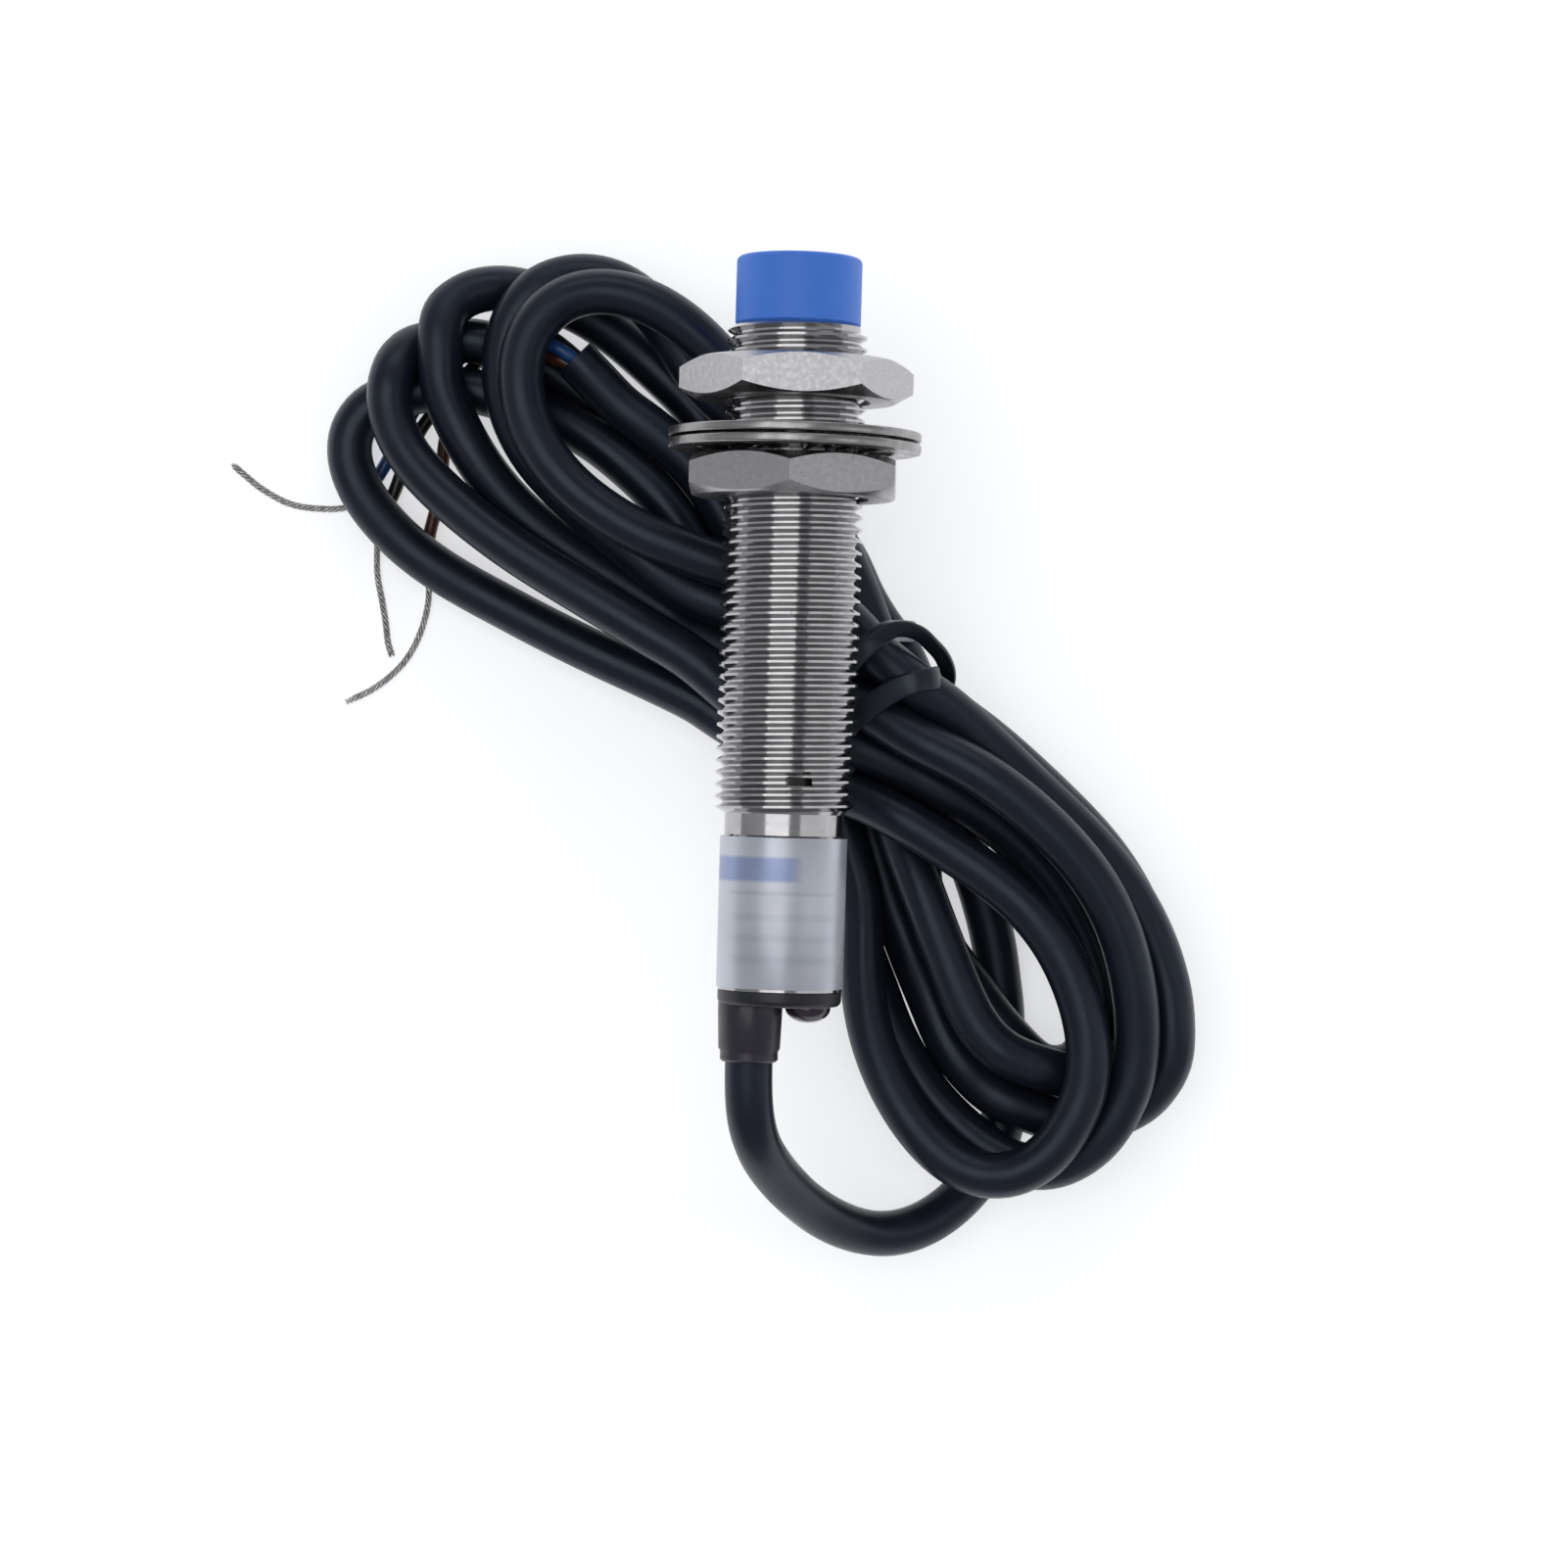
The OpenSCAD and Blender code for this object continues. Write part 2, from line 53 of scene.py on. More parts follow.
MM = 0.001
AXIS_HEIGHT = 24.0  # millimetres from the table up to the sensor's axis
BODY = "sensor"


def mm(x: float, y: float, z: float) -> Vector:
    """A place given in millimetres in the sensor's frame, in metres."""
    return Vector((x, y, z)) * MM


def on_table(x: float, y: float, height: float) -> Vector:
    """A place given in millimetres with its height above the table, in metres."""
    return mm(x, y, height - AXIS_HEIGHT)


class Part(Enum):
    """The CAD nodes that the looks are built around."""

    CAP = "sensing_cap"
    BARREL = "threaded_barrel"
    LABEL = "rating_label"
    END_CAP = "end_cap"
    LENS = "led_lens"
    RELIEF = "strain_relief"
    FRONT_NUT = "front_nut"
    REAR_NUT = "rear_nut"
    FRONT_WASHER = "front_lock_washer"
    REAR_WASHER = "rear_lock_washer"
    TIE = "cable_tie"

    def span(self) -> tuple[Vector, Vector]:
        """Lowest and highest corner of the node, in metres."""
        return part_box(self.value)

    def front(self) -> float:
        """Where the node's front face stands along the axis, in millimetres."""
        return self.span()[1].y / MM

    def back(self) -> float:
        """Where the node's rear face stands along the axis, in millimetres."""
        return self.span()[0].y / MM

    def radius(self) -> float:
        """Half of the node's width, in millimetres."""
        low, high = self.span()
        return (high.x - low.x) / 2 / MM

    def middle_x(self) -> float:
        """The middle of the node across the sensor, in millimetres."""
        low, high = self.span()
        return (high.x + low.x) / 2 / MM


# ------------------------------------------------------------------ mesh helpers


def rounded(outline: list[tuple[float, float]], radius: float, steps: int = 4,
            closed: bool = True) -> list[tuple[float, float]]:
    """Rounds the corners of an outline with arcs.

    Args:
        outline: Corner points, in order.
        radius: Radius of each rounding, kept under half of the shorter side.
        steps: Straight pieces in each arc.
        closed: Whether the last point joins the first.

    Returns:
        The outline with an arc in place of each corner.
    """
    points = [Vector(p) for p in outline]
    count = len(points)
    result: list[tuple[float, float]] = []
    for i, corner in enumerate(points):
        if not closed and i in (0, count - 1):
            result.append(tuple(corner))
            continue
        before = points[i - 1] - corner
        after = points[(i + 1) % count] - corner
        turn = before.angle(after)
        if turn > math.radians(176):
            result.append(tuple(corner))
            continue
        reach = min(radius / math.tan(turn / 2), 0.45 * before.length, 0.45 * after.length)
        arc_r = reach * math.tan(turn / 2)
        middle = (before.normalized() + after.normalized()).normalized()
        centre = corner + middle * (arc_r / math.sin(turn / 2))
        start = corner + before.normalized() * reach - centre
        end = corner + after.normalized() * reach - centre
        for step in range(steps + 1):
            mix = step / steps
            arm = (start * (1 - mix) + end * mix).normalized() * arc_r
            result.append(tuple(centre + arm))
    return result


def finish_mesh(bm: bmesh.types.BMesh, name: str, sharp: float = 32.0) -> bpy.types.Object:
    """Turns a bmesh into an object with smooth faces and sharp edges where it bends.

    Args:
        bm: The mesh, in metres. It is freed.
        name: Name of the new object.
        sharp: Angle between two faces above which their edge stays sharp, in degrees.

    Returns:
        The new object, linked to the scene.
    """
    bmesh.ops.remove_doubles(bm, verts=bm.verts, dist=2e-6)
    bmesh.ops.dissolve_degenerate(bm, edges=bm.edges, dist=1e-6)
    bmesh.ops.recalc_face_normals(bm, faces=bm.faces)
    limit = math.radians(sharp)
    for face in bm.faces:
        face.smooth = True
    for edge in bm.edges:
        edge.smooth = len(edge.link_faces) == 2 and edge.calc_face_angle(0.0) < limit
    mesh = bpy.data.meshes.new(name)
    bm.to_mesh(mesh)
    bm.free()
    piece = bpy.data.objects.new(name, mesh)
    bpy.context.scene.collection.objects.link(piece)
    return piece


def lathe(bm: bmesh.types.BMesh, outline: list[tuple[float, float]], x: float = 0.0,
          segments: int = 96, closed: bool = True) -> None:
    """Adds a solid of revolution about a line along Y.

    Args:
        bm: The mesh to add to.
        outline: Points of (radius, y) in millimetres.
        x: Where the line stands across the sensor, in millimetres.
        segments: Steps around.
        closed: Whether the last point joins the first.
    """
    rings = []
    for radius, y in outline:
        if radius < 1e-6:
            rings.append([bm.verts.new(mm(x, y, 0))])
            continue
        rings.append([
            bm.verts.new(mm(x + radius * math.sin(a), y, radius * math.cos(a)))
            for a in (2 * math.pi * k / segments for k in range(segments))])
    last = len(rings) if closed else len(rings) - 1
    for i in range(last):
        one, two = rings[i], rings[(i + 1) % len(rings)]
        for k in range(segments):
            n = (k + 1) % segments
            corners = [one[k % len(one)], one[n % len(one)], two[n % len(two)], two[k % len(two)]]
            unique = list(dict.fromkeys(corners))
            if len(unique) > 2:
                bm.faces.new(unique)


def bevelled(piece: bpy.types.Object, width: float, angle: float = 34.0) -> bpy.types.Object:
    """Rounds the sharp edges of a piece with a bevel that is applied.

    Args:
        piece: The object to round.
        width: Width of the bevel, in millimetres.
        angle: Edges that bend more than this many degrees are rounded.

    Returns:
        The same object.
    """
    modifier = piece.modifiers.new("edges", "BEVEL")
    modifier.width = width * MM
    modifier.segments = 2
    modifier.limit_method = "ANGLE"
    modifier.angle_limit = math.radians(angle)
    modifier.harden_normals = False
    apply_modifiers(piece)
    return piece


def apply_modifiers(piece: bpy.types.Object) -> None:
    """Replaces a piece's mesh by what its modifiers make of it."""
    bpy.context.view_layer.update()
    shaped = piece.evaluated_get(bpy.context.evaluated_depsgraph_get())
    mesh = bpy.data.meshes.new_from_object(shaped)
    piece.modifiers.clear()
    piece.data = mesh


def dress(piece: bpy.types.Object, finish: "Finish") -> bpy.types.Object:
    """Gives a piece the material of its finish, in place of any that it had."""
    piece.data.materials.clear()
    piece.data.materials.append(finish.material())
    return piece


def place(piece: bpy.types.Object, finish: "Finish", body: str, *nodes: str) -> bpy.types.Object:
    """Dresses a piece, lets it ride on a body and takes the place of its CAD nodes.

    Args:
        piece: The finished piece.
        finish: Its finish.
        body: The body that it moves with.
        nodes: CAD nodes that it stands for.

    Returns:
        The same piece.
    """
    dress(piece, finish)
    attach(piece, body)
    if nodes:
        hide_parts(*nodes)
    log.info("built %s: %s on %s", piece.name, finish.slot, body)
    return piece


# ------------------------------------------------------------------ shader groups


def new_group(name: str, inputs: dict[str, float], outputs: dict[str, str]) -> bpy.types.NodeTree:
    """Makes an empty shader node group.

    Args:
        name: Name of the group.
        inputs: Name and default of each value input.
        outputs: Name and socket type of each output.

    Returns:
        The group's tree, with its two end nodes named "in" and "out".
    """
    tree = bpy.data.node_groups.new(name, "ShaderNodeTree")
    for label, default in inputs.items():
        socket = tree.interface.new_socket(label, in_out="INPUT", socket_type="NodeSocketFloat")
        socket.default_value = default
    for label, kind in outputs.items():
        tree.interface.new_socket(label, in_out="OUTPUT", socket_type=kind)
    tree.nodes.new("NodeGroupInput").name = "in"
    tree.nodes.new("NodeGroupOutput").name = "out"
    return tree


def math_node(tree: bpy.types.NodeTree, operation: str, *values: object) -> bpy.types.NodeSocket:
    """Adds a math node whose inputs are numbers or sockets, and returns its output."""
    node = tree.nodes.new("ShaderNodeMath")
    node.operation = operation
    for i, value in enumerate(values):
        if isinstance(value, bpy.types.NodeSocket):
            tree.links.new(value, node.inputs[i])
        else:
            node.inputs[i].default_value = value
    return node.outputs[0]


def noise_node(tree: bpy.types.NodeTree, vector: bpy.types.NodeSocket, scale: object,
               detail: float = 3.0, stretch: tuple[float, float, float] | None = None
               ) -> bpy.types.NodeSocket:
    """Adds a noise texture on object coordinates.

    Args:
        tree: The tree to add to.
        vector: The coordinates.
        scale: A number or a socket for the noise's scale.
        detail: Octaves of the noise.
        stretch: Scale along each axis, or None.

    Returns:
        The noise's value, from 0 to 1.
    """
    if stretch is not None:
        mapping = tree.nodes.new("ShaderNodeMapping")
        mapping.inputs["Scale"].default_value = stretch
        tree.links.new(vector, mapping.inputs["Vector"])
        vector = mapping.outputs["Vector"]
    node = tree.nodes.new("ShaderNodeTexNoise")
    tree.links.new(vector, node.inputs["Vector"])
    node.inputs["Detail"].default_value = detail
    if isinstance(scale, bpy.types.NodeSocket):
        tree.links.new(scale, node.inputs["Scale"])
    else:
        node.inputs["Scale"].default_value = scale
    return node.outputs["Fac"]


class Effects:
    """Shader groups that several finishes share, each built once."""

    _made: dict[str, bpy.types.NodeTree] = {}

    @classmethod
    def get(cls, name: str) -> bpy.types.NodeTree:
        """The shared group of that name, made on its first use."""
        if name not in cls._made:
            cls._made[name] = getattr(cls, "_" + name)()
        return cls._made[name]

    @staticmethod
    def _grain() -> bpy.types.NodeTree:
        """Fine grain with a slower mottle: a height, and a mask from 0 to 1."""
        tree = new_group("Surface grain", {"Fine scale": 6000, "Coarse scale": 300, "Share": 0.5},
                         {"Height": "NodeSocketFloat", "Mottle": "NodeSocketFloat"})
        start, end = tree.nodes["in"], tree.nodes["out"]
        where = tree.nodes.new("ShaderNodeTexCoord").outputs["Object"]
        fine = noise_node(tree, where, start.outputs["Fine scale"], 2.0)
        coarse = noise_node(tree, where, start.outputs["Coarse scale"], 4.0)
        share = start.outputs["Share"]
        rest = math_node(tree, "SUBTRACT", 1.0, share)
        height = math_node(tree, "ADD", math_node(tree, "MULTIPLY", fine, share),
                           math_node(tree, "MULTIPLY", coarse, rest))
        spread = tree.nodes.new("ShaderNodeMapRange")
        spread.inputs["From Min"].default_value = 0.3
        spread.inputs["From Max"].default_value = 0.7
        tree.links.new(coarse, spread.inputs["Value"])
        tree.links.new(height, end.inputs["Height"])
        tree.links.new(spread.outputs["Result"], end.inputs["Mottle"])
        return tree

    @staticmethod
    def _speck() -> bpy.types.NodeTree:
        """Small scattered specks, such as pits in plate or dust on plastic: a mask from 0 to 1."""
        tree = new_group("Specks", {"Scale": 900, "Size": 0.1}, {"Mask": "NodeSocketFloat"})
        start, end = tree.nodes["in"], tree.nodes["out"]
        where = tree.nodes.new("ShaderNodeTexCoord").outputs["Object"]
        cells = tree.nodes.new("ShaderNodeTexVoronoi")
        tree.links.new(where, cells.inputs["Vector"])
        tree.links.new(start.outputs["Scale"], cells.inputs["Scale"])
        near = math_node(tree, "LESS_THAN", cells.outputs["Distance"], start.outputs["Size"])
        patch = noise_node(tree, where, 260.0, 2.0)
        some = math_node(tree, "GREATER_THAN", patch, 0.5)
        tree.links.new(math_node(tree, "MULTIPLY", near, some), end.inputs["Mask"])
        return tree

    @staticmethod
    def _scuff() -> bpy.types.NodeTree:
        """Long faint scratches in two directions: a mask from 0 to 1."""
        tree = new_group("Scuffs", {"Scale": 140, "Threshold": 0.62}, {"Mask": "NodeSocketFloat"})
        start, end = tree.nodes["in"], tree.nodes["out"]
        where = tree.nodes.new("ShaderNodeTexCoord").outputs["Object"]
        along = noise_node(tree, where, start.outputs["Scale"], 5.0, (1.0, 22.0, 1.0))
        across = noise_node(tree, where, start.outputs["Scale"], 5.0, (18.0, 1.0, 3.0))
        top = math_node(tree, "MAXIMUM", along, across)
        ramp = tree.nodes.new("ShaderNodeMapRange")
        tree.links.new(top, ramp.inputs["Value"])
        tree.links.new(start.outputs["Threshold"], ramp.inputs["From Min"])
        ramp.inputs["From Max"].default_value = 0.8
        tree.links.new(ramp.outputs["Result"], end.inputs["Mask"])
        return tree


# ------------------------------------------------------------------ finishes


@dataclass(frozen=True)
class Finish:
    """A finish: the base colour and gloss of a material, and the effects laid over it."""

    slot: str
    colour: tuple[float, float, float]
    roughness: float
    second: tuple[float, float, float] | None = None
    rough_change: float = 0.08
    metallic: float = 0.0
    bump: float = 0.1
    bump_depth: float = 0.02
    fine: float = 6000.0
    coarse: float = 300.0
    specks: float = 0.0
    speck_scale: float = 900.0
    speck_colour: tuple[float, float, float] = (0.02, 0.02, 0.025)
    scuffs: float = 0.0
    coat: float = 0.0
    coat_roughness: float = 0.12
    specular: float = 0.5
    tint: tuple[float, float, float] = (1.0, 1.0, 1.0)

    def material(self) -> bpy.types.Material:
        """The finish's material, made on its first use."""
        known = bpy.data.materials.get("finish_" + self.slot)
        return known if known is not None else self._make()

    def _make(self) -> bpy.types.Material:
        """Builds the material's nodes.

        Returns:
            The new material.
        """
        made = bpy.data.materials.new("finish_" + self.slot)
        made.use_nodes = True
        tree = made.node_tree
        shader = tree.nodes["Principled BSDF"]
        shader.inputs["Metallic"].default_value = self.metallic
        shader.inputs["Coat Weight"].default_value = self.coat
        shader.inputs["Coat Roughness"].default_value = self.coat_roughness
        shader.inputs["Specular IOR Level"].default_value = self.specular
        shader.inputs["Specular Tint"].default_value = (*self.tint, 1.0)
        grain = self._effect(tree, "grain", {"Fine scale": self.fine, "Coarse scale": self.coarse})
        colour = self._base(tree, grain.outputs["Mottle"])
        tree.links.new(colour, shader.inputs["Base Color"])
        rough = tree.nodes.new("ShaderNodeMapRange")
        rough.inputs["To Min"].default_value = max(0.02, self.roughness - self.rough_change)
        rough.inputs["To Max"].default_value = min(1.0, self.roughness + self.rough_change)
        tree.links.new(grain.outputs["Mottle"], rough.inputs["Value"])
        gloss = rough.outputs["Result"]
        if self.scuffs > 0:
            scuff = self._effect(tree, "scuff", {})
            worn = math_node(tree, "MULTIPLY", scuff.outputs["Mask"], self.scuffs)
            gloss = math_node(tree, "ADD", gloss, worn)
        tree.links.new(gloss, shader.inputs["Roughness"])
        bump = tree.nodes.new("ShaderNodeBump")
        bump.inputs["Strength"].default_value = self.bump
        bump.inputs["Distance"].default_value = self.bump_depth * MM
        tree.links.new(grain.outputs["Height"], bump.inputs["Height"])
        tree.links.new(bump.outputs["Normal"], shader.inputs["Normal"])
        return made

    def _effect(self, tree: bpy.types.NodeTree, name: str, values: dict[str, float]
                ) -> bpy.types.Node:
        """Places a shared effect in a material with this finish's own values."""
        node = tree.nodes.new("ShaderNodeGroup")
        node.node_tree = Effects.get(name)
        for label, value in values.items():
            node.inputs[label].default_value = value
        return node

    def _base(self, tree: bpy.types.NodeTree, mottle: bpy.types.NodeSocket
              ) -> bpy.types.NodeSocket:
        """Mixes the base colour with its second tone and the specks.

        Args:
            tree: The material's tree.
            mottle: The slow mask that the two tones follow.

        Returns:
            The colour's socket.
        """
        tone = self.second or tuple(0.82 * c for c in self.colour)
        colour = mix_colours(tree, mottle, self.colour, tone)
        if self.specks > 0:
            speck = self._effect(tree, "speck", {"Scale": self.speck_scale})
            amount = math_node(tree, "MULTIPLY", speck.outputs["Mask"], self.specks)
            colour = mix_colours(tree, amount, colour, self.speck_colour)
        return colour


def mix_colours(tree: bpy.types.NodeTree, amount: bpy.types.NodeSocket, one: object,
                two: object) -> bpy.types.NodeSocket:
    """Adds a colour mix.

    Args:
        tree: The tree to add to.
        amount: How much of the second colour there is.
        one: The first colour, as three numbers or a socket.
        two: The second colour, as three numbers or a socket.

    Returns:
        The mixed colour's socket.
    """
    node = tree.nodes.new("ShaderNodeMix")
    node.data_type = "RGBA"
    tree.links.new(amount, node.inputs["Factor"])
    for index, value in ((6, one), (7, two)):
        if isinstance(value, bpy.types.NodeSocket):
            tree.links.new(value, node.inputs[index])
        else:
            node.inputs[index].default_value = (*value, 1.0)
    return node.outputs[2]


@dataclass(frozen=True)
class LabelFoil(Finish):
    """The label's satin foil with its printed fields, which carry no lettering."""

    front: float = 0.0
    back: float = -1.0
    ink: tuple[float, float, float] = (0.10, 0.19, 0.50)
    rule: tuple[float, float, float] = (0.33, 0.36, 0.44)
    field_span: tuple[float, float] = (0.13, 0.29)
    field_edge: tuple[float, float] = (0.0018, 0.0006)
    field_strength: float = 0.55
    thin_rule: tuple[float, float] = (0.36, 0.375)
    wide_rules: tuple[float, ...] = (0.50, 0.64, 0.78)
    wide_rule: float = 0.05
    rule_edge: tuple[float, float] = (0.0046, 0.0038)

    def _base(self, tree: bpy.types.NodeTree, mottle: bpy.types.NodeSocket
              ) -> bpy.types.NodeSocket:
        """Prints a blue field near the front edge and thin pale rules over the foil.

        Args:
            tree: The material's tree.
            mottle: The slow mask of the foil's own two tones.

        Returns:
            The colour's socket.
        """
        colour = super()._base(tree, mottle)
        where = tree.nodes.new("ShaderNodeTexCoord").outputs["Object"]
        split = tree.nodes.new("ShaderNodeSeparateXYZ")
        tree.links.new(where, split.inputs[0])
        along = tree.nodes.new("ShaderNodeMapRange")
        along.inputs["From Min"].default_value = self.front * MM
        along.inputs["From Max"].default_value = self.back * MM
        tree.links.new(split.outputs["Y"], along.inputs["Value"])
        down = along.outputs["Result"]
        field_mask = self._band(tree, down, *self.field_span)
        left = self._fade(tree, split.outputs["X"], *self.field_edge)
        top = math_node(tree, "GREATER_THAN", split.outputs["Z"], 0.0)
        field_mask = math_node(tree, "MULTIPLY", field_mask, math_node(tree, "MULTIPLY", left, top))
        printed = math_node(tree, "MULTIPLY", field_mask, self.field_strength)
        colour = mix_colours(tree, printed, colour, self.ink)
        rules = self._band(tree, down, *self.thin_rule)
        for at in self.wide_rules:
            band = self._band(tree, down, at, at + self.wide_rule)
            rules = math_node(tree, "ADD", rules, math_node(tree, "MULTIPLY", band, 0.45))
        wide = math_node(tree, "ABSOLUTE", split.outputs["X"])
        inside = self._fade(tree, wide, *self.rule_edge)
        rules = math_node(tree, "MULTIPLY", rules, math_node(tree, "MULTIPLY", inside, top))
        return mix_colours(tree, math_node(tree, "MULTIPLY", rules, 0.5), colour, self.rule)

    @staticmethod
    def _band(tree: bpy.types.NodeTree, down: bpy.types.NodeSocket, start: float, end: float
              ) -> bpy.types.NodeSocket:
        """A mask that is 1 between two shares of the label's length, with soft edges."""
        middle, half = (start + end) / 2, (end - start) / 2
        off = math_node(tree, "ABSOLUTE", math_node(tree, "SUBTRACT", down, middle))
        return LabelFoil._fade(tree, off, half + 0.012, half - 0.012)

    @staticmethod
    def _fade(tree: bpy.types.NodeTree, value: bpy.types.NodeSocket, none: float, full: float
              ) -> bpy.types.NodeSocket:
        """A mask that grows from 0 to 1 as a value goes from one number to another."""
        node = tree.nodes.new("ShaderNodeMapRange")
        node.inputs["From Min"].default_value = none
        node.inputs["From Max"].default_value = full
        tree.links.new(value, node.inputs["Value"])
        return node.outputs["Result"]


NICKEL = Finish("nickel_plate", (0.46, 0.455, 0.46), 0.14, (0.40, 0.395, 0.40), metallic=1.0,
                rough_change=0.04, bump=0.12, bump_depth=0.01, fine=9000, coarse=700,
                specks=0.25, scuffs=0.16)
NUT_NICKEL = Finish("nickel_plate_nut", (0.47, 0.465, 0.475), 0.30, (0.42, 0.415, 0.43),
                    metallic=1.0, rough_change=0.05, bump=0.35, bump_depth=0.014, fine=5200,
                    coarse=2600,
                    specks=0.4, speck_scale=1700, scuffs=0.05)
WASHER_STEEL = Finish("washer_steel", (0.36, 0.35, 0.35), 0.27, (0.28, 0.27, 0.27), metallic=1.0,
                      bump=0.12, bump_depth=0.01, fine=7000, coarse=900, scuffs=0.2)
BLUE_CAP = Finish("blue_cap", (0.055, 0.215, 0.80), 0.5, (0.062, 0.235, 0.84), bump=0.35,
                  bump_depth=0.03, fine=3600, coarse=500, specks=0.35, speck_scale=1500,
                  speck_colour=(0.13, 0.32, 0.90), rough_change=0.05)
BLACK_PLASTIC = Finish("black_plastic", (0.010, 0.011, 0.019), 0.42, bump=0.2, fine=4200)
LENS = Finish("lens_plastic", (0.022, 0.010, 0.026), 0.22, (0.030, 0.012, 0.032), coat=0.35,
              rough_change=0.04, bump=0.04)
RELIEF = Finish("relief_rubber", (0.018, 0.013, 0.026), 0.38, (0.022, 0.015, 0.030), bump=0.15,
                fine=3000, coat=0.15)
JACKET = Finish("cable_jacket", (0.0085, 0.0105, 0.0185), 0.35, (0.011, 0.0135, 0.023), bump=0.16,
                bump_depth=0.02, fine=2600, coarse=170, specular=0.4, tint=(0.72, 0.82, 1.0),
                scuffs=0.12)
TIE_PLASTIC = Finish("tie_plastic", (0.010, 0.012, 0.019), 0.36, bump=0.2, fine=2400, coarse=400,
                     tint=(0.75, 0.85, 1.0))
WIRE_BROWN = Finish("insulation_brown", (0.085, 0.026, 0.016), 0.34, bump=0.1)
WIRE_BLUE = Finish("insulation_blue", (0.012, 0.075, 0.26), 0.34, bump=0.1)
WIRE_BLACK = Finish("insulation_black", (0.014, 0.014, 0.017), 0.34, bump=0.1)
TINNED = Finish("tinned_copper", (0.55, 0.54, 0.53), 0.34, (0.30, 0.29, 0.29), metallic=1.0,
                bump=0.2, fine=5000, coarse=1800)

INNER_FINISHES = {
    "ferrite_core": Finish("ferrite", (0.03, 0.03, 0.033), 0.62, bump=0.4, fine=2200),
    "coil_bobbin": Finish("bobbin_plastic", (0.62, 0.57, 0.44), 0.45),
    "sensing_coil": Finish("copper_wire", (0.60, 0.22, 0.07), 0.28, metallic=1.0, bump=0.5,
                           fine=9000),
    "circuit_board": Finish("board_laminate", (0.012, 0.10, 0.035), 0.3, coat=0.4),
    "oscillator_ic": Finish("chip_black", (0.015, 0.015, 0.017), 0.55, specks=0.3),
    "chip_components": Finish("chip_ceramic", (0.30, 0.20, 0.11), 0.5),
    "indicator_led": Finish("lamp_chip", (0.62, 0.36, 0.06), 0.2, coat=0.5),
    "solder_joints": Finish("solder", (0.62, 0.62, 0.63), 0.2, metallic=1.0),
    "inner_conductors": Finish("conductor_insulation", (0.10, 0.04, 0.025), 0.35),
    "shield_sleeve": Finish("film_sleeve", (0.012, 0.010, 0.010), 0.35, coat=0.2),
    "potting_plug": Finish("potting_resin", (0.03, 0.033, 0.037), 0.3, coat=0.3),
}
SAME_FINISH = {"coil_leads": "sensing_coil", "output_transistor": "oscillator_ic",
               "protection_diode": "oscillator_ic"}


# ------------------------------------------------------------------ camera and studio


@dataclass
class Studio:
    """The floor, the lights and the camera."""

    camera_place: tuple[float, float, float] = (-0.1, -44.0, 348.0)
    camera_roll: float = 1.61
    lens: float = 95.57
    sensor: float = 36.0
    floor_size: float = 3.0
    floor_colour: tuple[float, float, float] = (0.86, 0.865, 0.875)
    floor_glow: float = 0.66

    def camera(self) -> None:
        """Puts the camera above the sensor, looking straight down."""
        data = bpy.data.cameras.new("view")
        data.lens = self.lens
        data.sensor_width = self.sensor
        data.clip_start = 0.01
        data.clip_end = 20
        camera = bpy.data.objects.new("view", data)
        bpy.context.scene.collection.objects.link(camera)
        camera.location = mm(*self.camera_place)
        camera.rotation_euler = (0, 0, math.radians(self.camera_roll))
        bpy.context.scene.camera = camera
        log.info("camera placed")

    def lights(self) -> None:
        """Makes the soft lights: one overhead, a strip along each side and a weak end light."""
        for name, place, size, power, aim in (
                ("overhead", (-190, 20, 900), (0.60, 0.74), 1.95, (0, -40, 0)),
                ("left_strip", (-620, 40, 330), (0.20, 0.9), 0.10, (0, -40, 0)),
                ("right_strip", (620, -60, 300), (0.20, 0.9), 0.35, (0, -40, 0)),
                ("back_fill", (60, 700, 420), (0.7, 0.3), 0.7, (0, -40, 0))):
            data = bpy.data.lights.new(name, "AREA")
            data.shape = "RECTANGLE"
            data.size, data.size_y = size
            data.energy = power
            light = bpy.data.objects.new(name, data)
            bpy.context.scene.collection.objects.link(light)
            light.location = mm(*place)
            way = mm(*aim) - light.location
            light.rotation_euler = way.to_track_quat("-Z", "Y").to_euler()

    def surroundings(self) -> None:
        """Makes the pale floor and the even light of the room."""
        world = bpy.data.worlds.new("room")
        world.use_nodes = True
        back = world.node_tree.nodes["Background"]
        back.inputs["Color"].default_value = (0.93, 0.95, 1.0, 1.0)
        back.inputs["Strength"].default_value = 0.34
        bpy.context.scene.world = world
        bm = bmesh.new()
        half = self.floor_size / 2
        drop = -AXIS_HEIGHT * MM
        corners = [bm.verts.new((sx * half, sy * half, drop)) for sx, sy in
                   ((-1, -1), (1, -1), (1, 1), (-1, 1))]
        bm.faces.new(corners)
        floor = finish_mesh(bm, "floor")
        paper = bpy.data.materials.new("floor_paper")
        paper.use_nodes = True
        tree = paper.node_tree
        shader = tree.nodes["Principled BSDF"]
        shader.inputs["Roughness"].default_value = 0.9
        where = tree.nodes.new("ShaderNodeTexCoord").outputs["Object"]
        pale = mix_colours(tree, noise_node(tree, where, 60.0), self.floor_colour,
                           tuple(0.985 * c for c in self.floor_colour))
        tree.links.new(pale, shader.inputs["Base Color"])
        tree.links.new(pale, shader.inputs["Emission Color"])
        shader.inputs["Emission Strength"].default_value = self.floor_glow
        floor.data.materials.append(paper)
        log.info("studio built")


# ------------------------------------------------------------------ the cable

Place = tuple[float, float, float]


